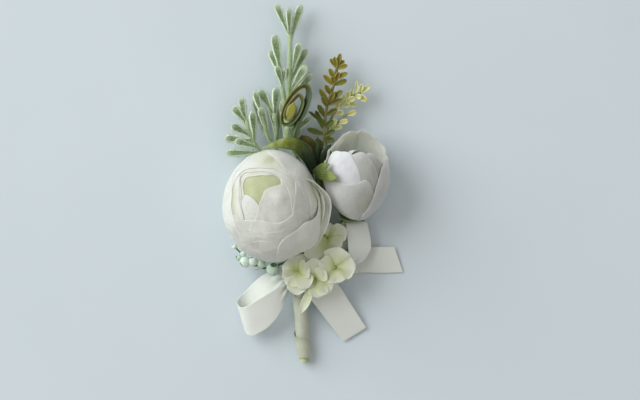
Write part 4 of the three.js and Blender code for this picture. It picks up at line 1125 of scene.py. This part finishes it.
# %% The four leaves
# The stops paint shade: each blade is darkest at its foot, in the shade between the flowers. The broad leaf
# is painted paler towards its tip at the left, facing the light, and the narrow leaf is painted almost black.
broad_green_painted_light_and_shade = blade_material("broad green leaf", [
    (0.0, (0.02, 0.035, 0.008)), (0.35, (0.055, 0.08, 0.01)), (0.62, (0.17, 0.22, 0.03)),
    (0.85, (0.42, 0.48, 0.18)),
], 0.42, 7.0)
pointed_green = blade_material("pointed green leaf", [
    (0.0, (0.015, 0.03, 0.008)), (0.45, (0.07, 0.1, 0.02)), (1.0, (0.26, 0.32, 0.08)),
], 0.42, 5.0)
narrow_green_painted_shade = blade_material("narrow green leaf", [
    (0.0, (0.007, 0.015, 0.005)), (0.6, (0.015, 0.029, 0.009)), (1.0, (0.05, 0.075, 0.025)),
], 0.4, 3.0)
olive_brown = blade_material("olive brown leaf", [
    (0.0, (0.02, 0.03, 0.006)), (0.5, (0.055, 0.055, 0.01)), (1.0, (0.12, 0.1, 0.02)),
], 0.38, 5.0)

build_leaf("broad_green_leaf", "broad_leaf", broad_green_painted_light_and_shade, [
    ([[1, 6.6, 7.4], [-0.2, 13.8, 9.4], [-3.8, 17, 11.2], [-8, 18.2, 12.6], [-12.4, 17.8, 13.4],
      [-17, 15.6, 13.4], [-20.8, 14.2, 12.6]],
     [[-1.4, 5.4, 7.4], [-5, 9.8, 10.4], [-7, 12.4, 12.4], [-9.8, 13.4, 13.4], [-13, 13.8, 13.6],
      [-17.2, 14, 13.4], [-21, 13.8, 12.6]]),
], [*seat(90, INNER_RING), [2.2, -11, 5.2], [1.6, -2, 5.6], [0.4, 6.8, 7.6]], close_tip=False)
build_leaf("olive_brown_leaf", "brown_leaf", olive_brown, [
    ([[0.6, 9, 6.4], [-2.6, 12.4, 6.8], [-5.6, 16, 8], [-6, 18.4, 8.8]],
     [[2, 9, 6.2], [1.6, 13.8, 6.8], [0.4, 17.2, 8.2], [-3.6, 19.8, 8.8]]),
], [*seat(150, INNER_RING), [0.4, -11.4, 4], [2.4, -1, 4.8], [1.4, 9.8, 6.4]])
build_leaf("pointed_green_leaf", "pointed_leaf", pointed_green, [
    ([[-0.4, 4.8, 16.8], [2, 7, 19.4], [4.2, 8, 21.6], [6.6, 7.8, 23]],
     [[0.2, 3.4, 16.8], [2.6, 3.8, 20], [5, 5, 22.4], [6.8, 7.2, 23.2]]),
    ([[0.2, 4.4, 17.2], [3, 5.6, 20.8], [6.6, 5, 24.4], [10, 2, 26.8]],
     [[0.6, 2.8, 17.2], [3.4, 1.2, 21.2], [6.6, 0.6, 24.8], [9.8, 1.6, 26.9]]),
], [*seat(0, 0), [3.2, -11, 3.8], [3, -4, 7.8], [2, 1.4, 12], [1.2, 3.8, 17.2]])
build_leaf("narrow_dark_leaf", "narrow_leaf", narrow_green_painted_shade, [
    ([[2.4, 3.6, 6.6], [2.6, 9, 8.4], [3.6, 13, 9.4], [6.6, 15.8, 10]],
     [[3.8, 3.4, 6.6], [4.6, 8.4, 8.2], [6, 12.4, 9.2], [7.8, 15.4, 9.8]]),
    ([[-0.8, 3.6, 8.6], [-3.4, 8.4, 10.4], [-4.4, 12, 11.4], [-4, 15, 12]],
     [[1.6, 3.6, 8.6], [0.8, 9.2, 10.2], [-0.6, 13, 11.2], [-3.6, 15.6, 12]]),
    ([[1, 3.4, 6], [0.4, 9, 7], [0.6, 14, 7.6], [1.8, 18.6, 8]],
     [[2.6, 3.4, 6], [3.2, 9, 7.2], [3.2, 14, 7.8], [2, 18.8, 8]]),
    ([[2.4, 2.6, 8.6], [5, 6.6, 10.4], [6.4, 10, 11.4], [6.8, 13, 12]],
     [[3.4, 1.8, 8.6], [6.4, 5, 10.4], [8, 9, 11.4], [7.2, 13, 12]]),
], [*seat(16, OUTER_RING), [-0.8, -26, 5.9], [4.6, -11, 5.4], [4.8, -3, 5.4], [3.2, 4.2, 6.6]])

# %% [markdown]
# ## Green cups under the flowers
# Each flower sits in a calyx of five pointed sepals, and a wire stem leads from it down to the cup of the
# bundle. Little of it shows from the front, but it is what one sees from below and from behind.

# %% Calyxes
calyx_green = leaf_material(
    "calyx green", (0.16, 0.25, 0.07), edge=(0.3, 0.4, 0.16), patch=(0.09, 0.15, 0.03), roughness=0.5,
    veins=4.0,
)
SEPALS = 5
SEPAL_THICKNESS = 0.45
SEPAL_HALF_ANGLE = 50
SEPAL_TIP_ANGLE = 1.5
SEPAL_FOOT = 177
SEPAL_LAP = 0.012
SEPAL_CUP = 0.02
FOOT_RADIUS = 1.2
FLOWER_STALK = 0.55


def build_calyx(name, node, flower, layer, tip_angle, stalk):
    pieces = []
    for number in range(SEPALS):
        middle = number * 360 / SEPALS + 20

        def surface(u, t):
            half = SEPAL_HALF_ANGLE * lerp(1.0, 0.9, t) * (1 - smoothstep(0.25, 1.02, t) ** 1.4)
            turn = middle + u * max(half, SEPAL_TIP_ANGLE)
            size = layer + SEPAL_LAP * u - SEPAL_CUP * (1 - u * u) * math.sin(math.pi * t)
            return above_table(on_ball(flower, lerp(SEPAL_FOOT, tip_angle, t), turn, size), 0.3)

        pieces.append(thicken(lay_sheet("sepal", surface, 8, 10, calyx_green), SEPAL_THICKNESS))
    foot = above_table(on_ball(flower, 180, 0, layer), FOOT_RADIUS)
    pieces.append(add_ball(calyx_green, FOOT_RADIUS, foot))
    pieces.append(stem([*stalk, foot], FLOWER_STALK, FLOWER_STALK, green_stem))
    settle(join(pieces, name), node)


build_calyx(
    "bloom_green_cup", "bloom_calyx", BLOOM, layer=1.05, tip_angle=148,
    stalk=[*seat(221, OUTER_RING), [-9, -27, 1.6]],
)
build_calyx(
    "bud_green_cup", "bud_calyx", BUD, layer=1.06, tip_angle=144,
    stalk=[*seat(344, OUTER_RING), [3, -26, 6.4], [9, -18, 6.4]],
)

# %% [markdown]
# ## Cream florets
# Four small florets of thin cream cloth cover the top of the bow. Each has a few petals round a green centre.
# The cloth is so thin that what lies behind it shows a little, so it scatters much light below its surface.

# %% Floret material
FLORET_FOOT = (0.7, 0.76, 0.46)
floret_cloth = along_material(
    "floret cloth", [(0.05, (0.48, 0.57, 0.16)), (0.38, FLORET_FOOT), (0.85, (0.78, 0.82, 0.67))], 0.7, 9.0,
    sharpness=3.0, uneven=0.2, line_share=0.18, line_colour=FLORET_FOOT, depth=0.06, strength=0.8,
    Subsurface_Weight=0.3, Subsurface_Scale=2.0 * MM, Sheen_Weight=0.1, Specular_IOR_Level=0.25,
)
floret_green = leaf_material(
    "floret green", (0.3, 0.38, 0.12), edge=(0.42, 0.5, 0.2), patch=(0.2, 0.28, 0.08), roughness=0.6,
    veins=2.0, patch_size=1.0,
)

# %% A floret from its centre and petal tips
WIDEST = 0.62
PETAL_CUP = 0.7
PETAL_RUFFLE = 0.35
PETAL_FOOT = 0.12
PETAL_THICKNESS = 0.26
FLORET_STALK = 0.4


def floret_petal(centre, tip, width, point=0.45):
    """point is how wide the petal still is at its tip."""
    heart = Vector(centre)
    run = Vector(tip) - heart
    side = run.cross(Vector((0, 0, 1))).normalized()
    lift = side.cross(run).normalized()

    def surface(u, t):
        swell = lerp(PETAL_FOOT, 1, math.sin(min(t / WIDEST, 1) * math.pi / 2))
        past = max(0, t - WIDEST) / (1 - WIDEST)
        close = lerp(1, point, past ** 2)
        spot = heart + run * t * (1 - 0.1 * u * u * past) + side * u * width * swell * close
        spot += lift * PETAL_CUP * (u * u * t + math.sin(math.pi * 0.9 * t) * 0.5)
        return spot + lift * PETAL_RUFFLE * t * ripple(spot, 3.2, width + tip[0])

    return thicken(lay_sheet("floret petal", surface, 10, 12, floret_cloth), PETAL_THICKNESS)


def build_floret(name, node, centre, petals, stalk, boss_radius=0.5):
    """petals lists (tip, width), or for a pointed petal (tip, width, width of its tip)."""
    pieces = [floret_petal(centre, *petal) for petal in petals]
    pieces.append(add_ball(floret_green, boss_radius, centre, segments=16, rings=10, height=0.7))
    pieces.append(stem([*stalk, centre], FLORET_STALK, FLORET_STALK, green_stem))
    settle(join(pieces, name), node)


# %% The four florets
build_floret("right_floret", "floret_right", [8.8, -33.8, 12], [
    ([10.2, -25.4, 13.6], 5.6),
    ([17.2, -33.4, 13.4], 5),
    ([11.6, -39.6, 13], 5.4),
    ([4.4, -39, 12.6], 3.6),
    ([2.2, -31.8, 14], 4.2),
], [*seat(45, OUTER_RING), [-1.2, -30.4, 7.8], [4, -31.4, 10.2]], boss_radius=1.1)

build_floret("upper_floret", "floret_upper", [6, -21.8, 10.6], [
    ([13.6, -18.6, 10.6], 4),
    ([11.4, -25.8, 11.2], 3.6),
    ([3.4, -33, 11.8], 3.8),
    ([-3.2, -29.6, 12.6], 4.6),
    ([6.4, -15.8, 10.2], 3),
], [*seat(76, OUTER_RING), [-1, -28.8, 9], [3.2, -24.6, 10]])

build_floret("middle_floret", "floret_middle", [-6, -35.2, 11.8], [
    ([-12.4, -33.2, 11.8], 3.6),
    ([-11, -40.4, 12], 4.2),
    ([-6.6, -45, 11.6], 4.2),
    ([-1.6, -42, 12.8], 4),
    ([-1.2, -33.6, 13.4], 4.2),
    ([-7.4, -28.8, 12.4], 4.2),
    ([-2.8, -28.6, 12], 4.4),
], [*seat(146, OUTER_RING), [-7.2, -31, 8.4]])

build_floret("lower_floret", "floret_lower", [1.2, -38.2, 11.4], [
    ([7.6, -42.8, 11.4], 5),
    ([2.6, -46, 11], 4.4),
    ([-5.4, -53.2, 10.2], 1.9, 0.12),
    ([0, -29.8, 13.6], 4.4),
    ([5.2, -35, 14], 3.4),
], [*seat(107, OUTER_RING), [-4.4, -30.4, 9], [-0.8, -33, 10.8]])

# %% [markdown]
# ## Mint berries
# A spray of small round berries lies left of the bow. Each berry is a ball with a darker sunken cap where it
# grew from its flower, so the top of the ball is pushed in and its rim raised. Their coat is matt.

# %% Berries
def berry_material(name, colour, other, roughness=0.62):
    return grainy_material(
        name, colour, other, roughness, cloud=1.4, grain=0.35, depth=0.05, strength=0.5,
        Subsurface_Weight=0.12, Subsurface_Scale=1.0 * MM,
    )


berry_mint = berry_material("mint berry", (0.42, 0.57, 0.43), (0.62, 0.74, 0.63))
berry_pale = berry_material("pale berry", (0.6, 0.73, 0.63), (0.74, 0.84, 0.77))
berry_cap = berry_material("berry cap", (0.07, 0.13, 0.06), (0.13, 0.2, 0.1), 0.7)
CAP_ANGLE = math.radians(26)
SINK_ANGLE = math.radians(32)
CAP_SINK = 0.16
CAP_RIM = 0.05
BERRY_DENT = 0.08


def berry(centre, radius, material, faces):
    """faces is the direction in which the berry's cap points."""
    ball = add_ball(material, radius, segments=28, rings=18)
    ball.data.materials.append(berry_cap)
    for polygon in ball.data.polygons:
        if polygon.center.z > radius * MM * math.cos(CAP_ANGLE):
            polygon.material_index = 1
    for vertex in ball.data.vertices:
        sink = smoothstep(math.cos(SINK_ANGLE), 1, vertex.co.z / (radius * MM))
        dent = BERRY_DENT * ripple(vertex.co / MM, radius * 0.8, centre[0])
        vertex.co *= 1 - CAP_SINK * sink + CAP_RIM * math.sin(math.pi * sink) + dent
    turn = Vector((0, 0, 1)).rotation_difference(Vector(faces)).to_matrix().to_4x4()
    ball.data.transform(Matrix.Translation(Vector(centre) * MM) @ turn)
    return ball


SPRAY_STEM = [
    *seat(188, OUTER_RING), [-12, -32.2, 5.6], [-18, -34.2, 6.2], [-22.4, -33.4, 6.4], [-27.2, -31.4, 6.4],
]
spray = join([
    stem(SPRAY_STEM, 0.45, 0.45, green_stem),
    stem([[-26, -32, 6.4], [-28.4, -28.8, 6.6], [-31.6, -25.4, 6.8]], 0.4, 0.3, green_stem),
    stem([[-18, -34.2, 6.2], [-17, -34, 7.4]], 0.6, 0.6, green_stem),
    berry([-16, -34.6, 8.6], 2.7, berry_mint, (0.1, 0.75, 0.65)),
    berry([-27.2, -31.6, 6.6], 2.3, berry_pale, (-0.8, -0.5, 0.2)),
    berry([-24, -31.4, 7.4], 1.9, berry_pale, (-0.2, 0.9, 0.3)),
    berry([-20.8, -32.4, 7], 1.8, berry_mint, (0.1, 0.9, 0.2)),
    berry([-22.6, -33.6, 5.6], 1.3, berry_pale, (-0.2, -0.9, 0.2)),
    berry([-27.9, -28.2, 6.8], 1.3, berry_pale, (-0.6, 0.7, 0.2)),
    berry([-29.8, -30, 6.2], 1.2, berry_mint, (-0.8, 0.2, 0.4)),
    berry([-31.5, -25.5, 6.8], 1.1, berry_pale, (-0.7, 0.7, 0.2)),
], "mint_berry_spray")
settle(spray, "berry_spray")

# %% [markdown]
# ## Satin ribbon
# Everything is bound with ivory satin ribbon 12 mm wide. A strip of ribbon is given by its two long edges and
# laid between them, so it can twist and turn like the real one. Satin is a fine weave with a soft sheen: its
# threads run along the strip, and its edges are woven a little thicker.

# %% Satin material
def satin_material(name, colour, shade, seam):
    """seam is how much of the shade colour is painted along the two edges; on the wound ribbon it is painted
    shadow.
    """
    material, tree = start_material(
        name, 0.45, Sheen_Weight=0.25, Sheen_Roughness=0.35, Specular_IOR_Level=0.45, Anisotropic=0.4,
        Subsurface_Weight=0.15, Subsurface_Scale=1.5 * MM,
    )
    edge = use_group(tree, VEINS, Veins=1.0, Sharpness=1.0)["Edge"]
    toned = mix_colour(tree, scaled(tree, clouds(tree, 5.0), 0.35), colour, shade)
    shaded = mix_colour(tree, scaled(tree, math_node(tree, "POWER", edge, 2.0), seam), toned, shade)
    threads = scaled(tree, use_group(tree, WEAVE, Threads_across=48.0, Threads_along=130.0)["Height"], 0.3)
    return end_material(material, shaded, math_node(tree, "ADD", threads, edge), 0.05, 0.5)


satin = satin_material("ivory satin", (0.79, 0.83, 0.78), (0.72, 0.76, 0.68), 0.2)
# The wound ribbon is a darker, greener copy of the ivory satin, painted shade, with painted shadow along its
# edges where each turn laps the one before.
wound_satin_painted_shade = satin_material("wound satin in painted shade", (0.54, 0.57, 0.46), (0.37, 0.4, 0.29), 0.8)

# %% A strip of ribbon between two edges
RIBBON_WIDTH = 12.0
RIBBON_THICKNESS = 0.3
RIBBON_WAVE = 0.12
PLEATS = 2
PLEAT_LIMIT = 0.85
GATHER_START = 9.5
GATHER_FULL = 5
LENGTH_STEPS = 200


def lay_ribbon(name, node, along, edge_a, edge_b):
    """A strip of the bow. Where its edges come close together the ribbon is gathered into pleats."""
    line_a = smooth_line(edge_a)
    line_b = smooth_line(edge_b)

    def surface(u, t):
        return line_a(t).lerp(line_b(t), (u + 1) / 2)

    def shaped(u, t):
        spot = surface(u, t)
        step = 0.01
        side = surface(1, t) - surface(-1, t)
        forward = surface(0, min(t + step, 1)) - surface(0, max(t - step, 0))
        out = side.cross(forward).normalized()
        gathered = smoothstep(GATHER_START, GATHER_FULL, side.length)
        pleat = PLEAT_LIMIT * gathered * math.sin(PLEATS * math.pi * (u + 1))
        return spot + out * (pleat + RIBBON_WAVE * math.sin(math.pi * t) * ripple(spot, 7, 2))

    strip = lay_sheet(name, shaped, 24, along, satin)
    points = [surface(0, number / LENGTH_STEPS) for number in range(LENGTH_STEPS + 1)]
    length = sum((b - a).length for a, b in zip(points, points[1:]))
    area = sum(polygon.area for polygon in strip.data.polygons) / MM ** 2
    kept = area / (length * RIBBON_WIDTH)
    print(name, "is", round(length, 1), "mm long and keeps", round(kept, 2), "of its cut")
    settle(thicken(strip, RIBBON_THICKNESS), node)


# %% Bow loops
lay_ribbon("left_bow_loop", "bow_loop_left", 60, [
    [-10, -34.8, 4.6], [-19.6, -36.6, 2.2], [-27.4, -43.6, 1.2], [-30.6, -47.8, 4.6], [-27.8, -49.8, 9],
    [-20.4, -45.6, 10.6], [-13.6, -41.4, 10], [-9.6, -38.8, 7.6],
], [
    [-10, -38.6, 4.2], [-17.4, -46.4, 4.6], [-23.6, -55, 3], [-27.2, -59.4, 3.8], [-24.2, -61.4, 5.8],
    [-17.2, -57.2, 7.6], [-12.2, -50, 8], [-10, -41, 6.2],
])

lay_ribbon("right_bow_loop", "bow_loop_right", 70, [
    [-0.4, -34.8, 5.8], [5, -24.8, 5.4], [10.6, -17.4, 5.2], [12.6, -15.6, 6.8], [13.2, -17.4, 8.8],
    [14, -25.4, 9.4], [14, -30, 8.4], [12, -31, 6.8], [5.4, -32, 7.2], [-0.2, -36.2, 7.2],
], [
    [-0.6, -37.2, 4.4], [9, -31, 3.8], [18.8, -19.8, 2.6], [20.6, -15.6, 3.2], [22, -17, 4.4],
    [23.4, -25.4, 4.8], [20.6, -30.8, 4.2], [16.4, -32.6, 4], [6, -36.6, 5.2], [-0.2, -38.8, 5.6],
])

# %% Bow tails
lay_ribbon(
    "side_bow_tail", "bow_tail_side", 40,
    [[-1, -37.8, 2.4], [6.4, -32.4, 2.2], [18, -26, 1.8], [25, -25.6, 1.6], [32.8, -25.6, 1.5]],
    [[-1.4, -39.8, 2], [7, -38.6, 1.2], [18, -36.2, 0.8], [27, -36.2, 0.7], [36.4, -36, 0.7]],
)
lay_ribbon(
    "low_bow_tail", "bow_tail_low", 40,
    [[-1.1, -38.2, 8], [5.4, -38.6, 7.8], [9.8, -40.4, 7], [15.4, -48.8, 4], [21.6, -58.3, 1.2]],
    [[-4.4, -40.4, 9.6], [-3.2, -44.4, 8.8], [-0.2, -47.6, 7], [5.8, -55.6, 4], [12.4, -64, 1]],
)

# %% [markdown]
# ## Ribbon wound round the stems
# The same ribbon is wound down the stems, each turn lapping over the one before along a slanting line. The
# strip's seam follows that line: as the sheet goes down the stem, its start turns round it, and its outer
# edge stands one thickness further out than its inner edge. Its satin is painted darker and greener as
# shade, and darker still along its edges as the shadow under each lap.

# %% Stem winding
BUNDLE_LINE = [
    [-3.4, -71.9, 2.3], [-3.8, -67, 2.6], [-4.2, -62, 2.85], [-5, -50, 3.5], [-5.4, -43, 4.2],
    [-5.5, -39.5, 4.6], [-5.5, -32.4, 4.6],
]
WRAP_TOP = -42.0
WRAP_END = -70.4
WRAP_PITCH = 16.4
WRAP_STEP = 0.7
WRAP_LAP = 0.12
WRAP_PHASE = 0.94
WRAP_FLATTENING = 0.85
WRAP_THICKNESS = 0.2
WRAP_INSET = 0.05
CREASE_DEPTH = 0.2
CREASE_SIZE = 2.4
BELLY = -62
BELLY_RADIUS = 2.95
TOP_RADIUS = 2.6
END_RADIUS = 2.3
bundle = smooth_line(BUNDLE_LINE)


def bundle_middle(y):
    """The bundle's centre at height y, found by halving."""
    share = 0.5
    step = 0.25
    while step > 1e-5:
        share += step if bundle(share).y < y else -step
        step /= 2
    return bundle(share)


def wrap_radius(y):
    """Widest at the belly, narrower towards the bow and rounded in at the cut end."""
    if y > BELLY:
        return lerp(BELLY_RADIUS, TOP_RADIUS, (y - BELLY) / (WRAP_TOP - BELLY))
    return lerp(END_RADIUS, BELLY_RADIUS, math.sqrt(max(y - WRAP_END, 0) / (BELLY - WRAP_END)))


def winding(u, t):
    y = lerp(WRAP_END, WRAP_TOP, t)
    seam = -math.tau * ((WRAP_TOP - y) / WRAP_PITCH + WRAP_PHASE)
    turn = seam - math.pi * (1 + WRAP_LAP) * u
    inside = smoothstep(0, 0.12, t) * smoothstep(1, 0.88, t)
    y += WRAP_FLATTENING * WRAP_PITCH / math.tau * math.cos(turn) * inside
    middle = bundle_middle(y)
    crease = CREASE_DEPTH * ripple((math.cos(turn) * 1.4, y, math.sin(turn) * 1.4), CREASE_SIZE, 6)
    radius = wrap_radius(y) + WRAP_STEP * u / 2 - WRAP_INSET + crease
    return (middle.x + math.cos(turn) * radius, y, max(middle.z + math.sin(turn) * radius, 0.12))


stem_winding = thicken(lay_sheet("stem_ribbon_winding", winding, 40, 60, wound_satin_painted_shade), WRAP_THICKNESS)
settle(stem_winding, "stem_wrap")

# %% [markdown]
# ## The band that ties the bow
# A short piece of the same ribbon is folded in three along its length, so that both edges lie inside, and is
# drawn round the bow once. The strip is laid along its folded cross section: down the inside, round the
# fold, across the outside and back in again.

# %% Bow band
BAND_MIDDLE = -37.5
BAND_HALF_HEIGHT = 2.7
BAND_FOLD_RADIUS = 0.18
BAND_RADIUS = 4.12
BAND_TURN = 366
BAND_THICKNESS = 0.14
BAND_RIB = 0.05
BAND_CREASE = 0.04


def band(u, t):
    turn = math.radians(-90 + BAND_TURN * t)
    place = u * RIBBON_WIDTH / 2
    side = 1 if u >= 0 else -1
    beyond = abs(place) - BAND_HALF_HEIGHT
    bend = min(max(beyond / BAND_FOLD_RADIUS, 0), math.pi)
    if beyond <= 0:
        y = place
    else:
        back = max(beyond - math.pi * BAND_FOLD_RADIUS, 0)
        y = side * (BAND_HALF_HEIGHT + math.sin(bend) * BAND_FOLD_RADIUS - back)
    radius = BAND_RADIUS - BAND_FOLD_RADIUS * (1 - math.cos(bend))
    if beyond <= 0:
        crease = ripple((math.cos(turn) * 4, y, math.sin(turn) * 4), 2)
        radius += BAND_RIB * math.cos(place * 2.2) + BAND_CREASE * crease
    return (CUP[0] + math.cos(turn) * radius, BAND_MIDDLE + y, CUP[2] + math.sin(turn) * radius)


bow_band = thicken(lay_sheet("bow_band_ribbon", band, 60, 60, satin), BAND_THICKNESS, rounding=0)
settle(bow_band, "bow_band")

# %% [markdown]
# ## The taped stems
# Under the ribbon is the bundle of wire stems, wound with pale green tape. Its cut end shows below the
# ribbon, and its top opens into the cup in which the stems stand.

# %% Stem tape
TAPE_PITCH = 6


def tape_material():
    material, tree = start_material("stem tape", 0.75, Subsurface_Weight=0.1, Subsurface_Scale=1.0 * MM)
    colour = mix_colour(tree, clouds(tree, 2.0), (0.56, 0.6, 0.36), (0.42, 0.47, 0.22))
    bands = add_node(
        tree, "ShaderNodeTexWave", Vector=surface_place(tree, "Object"), Scale=0.9 / (TAPE_PITCH * MM),
        Distortion=1.5, bands_direction="Y",
    )
    return end_material(material, colour, bands.outputs["Fac"], 0.08, 0.7)


stem_tape = tape_material()

# %% Stem core
CUP_RADIUS = 3.45
CUP_WALL = 0.4
CUP_DEPTH = 7
CUP_ROUNDING = 0.15
COLLAR_FOOT = -40.5
WIRES = 6
WIRE_RADIUS = 0.45
WIRE_RING = 1.1
WIRE_LENGTH = 2.1
WIRE_LEAN = 0.1
CUT_END = (-3.4, -72.1, 2.3)


def collar():
    """The cup: a cylinder whose top face is inset and pushed down."""
    length = CUP[1] - COLLAR_FOOT
    deselect()
    bpy.ops.mesh.primitive_cylinder_add(
        vertices=40, radius=CUP_RADIUS * MM, depth=length * MM, rotation=(math.radians(-90), 0, 0),
        location=(CUP[0] * MM, (CUP[1] - length / 2) * MM, CUP[2] * MM),
    )
    cup = bpy.context.object
    bpy.ops.object.transform_apply(location=True, rotation=True, scale=True)
    bpy.ops.object.mode_set(mode="EDIT")
    bpy.ops.mesh.select_mode(type="FACE")
    bpy.ops.mesh.select_all(action="DESELECT")
    bpy.ops.object.mode_set(mode="OBJECT")
    for polygon in cup.data.polygons:
        polygon.select = polygon.normal.y > 0.9
    bpy.ops.object.mode_set(mode="EDIT")
    bpy.ops.mesh.inset(thickness=CUP_WALL * MM)
    bpy.ops.mesh.extrude_region_move(TRANSFORM_OT_translate={"value": (0, -CUP_DEPTH * MM, 0)})
    bpy.ops.object.mode_set(mode="OBJECT")
    soften = cup.modifiers.new("Soft edges", "BEVEL")
    soften.width = CUP_ROUNDING * MM
    soften.segments = 2
    apply_modifiers(cup)
    cup.data.materials.append(stem_tape)
    return cup


shaft = stem(BUNDLE_LINE[:6], 1.85, 2.0, stem_tape, sides=5)
wires = []
for number in range(WIRES):
    angle = math.tau * number / WIRES
    x = CUT_END[0] + WIRE_RING * math.cos(angle)
    z = CUT_END[2] + WIRE_RING * math.sin(angle)
    wire_line = [[x, CUT_END[1], z], [x - WIRE_LEAN, CUT_END[1] + WIRE_LENGTH, z + WIRE_LEAN]]
    wires.append(stem(wire_line, WIRE_RADIUS, WIRE_RADIUS, stem_tape))
settle(join([shaft, collar(), *wires], "taped_stem_bundle"), "stem_core")

# %% [markdown]
# ## Table and light
# The bunch lies on a plain pale table. One big soft lamp from the upper left models the petals, as daylight
# from a window does, and a weak one from the right keeps the shaded side open.

# %% Table
material, tree = start_material("pale table", 0.85, Specular_IOR_Level=0.2)
table_tone = mix_colour(tree, clouds(tree, 90.0), (0.64, 0.72, 0.78), (0.66, 0.74, 0.8))
deselect()
bpy.ops.mesh.primitive_plane_add(size=3)
table = bpy.context.object
table.name = "table"
table.data.materials.append(end_material(material, table_tone))

# %% Lamps
def lamp(name, azimuth, elevation, distance, size, power, colour):
    """A square area lamp that looks at the bunch, from an azimuth counted from +X towards +Y."""
    turn = math.radians(azimuth)
    rise = math.radians(elevation)
    direction = Vector((math.cos(turn) * math.cos(rise), math.sin(turn) * math.cos(rise), math.sin(rise)))
    deselect()
    bpy.ops.object.light_add(type="AREA", location=direction * distance)
    made = bpy.context.object
    made.name = name
    made.rotation_euler = direction.to_track_quat("Z", "Y").to_euler()
    made.data.size = size
    made.data.energy = power
    made.data.color = colour


lamp(
    "window lamp", azimuth=152, elevation=32, distance=2.0, size=1.8, power=41, colour=(0.97, 1.0, 0.99),
)
lamp(
    "fill lamp", azimuth=-20, elevation=60, distance=1.4, size=1.2, power=1.0, colour=(0.93, 0.96, 1.0),
)

# %% Light of the room
world = bpy.data.worlds.new("soft room")
world.use_nodes = True
background = world.node_tree.nodes["Background"]
background.inputs["Color"].default_value = (1.0, 0.96, 0.91, 1)
background.inputs["Strength"].default_value = 0.43
bpy.context.scene.world = world
bpy.context.scene.view_settings.view_transform = "Standard"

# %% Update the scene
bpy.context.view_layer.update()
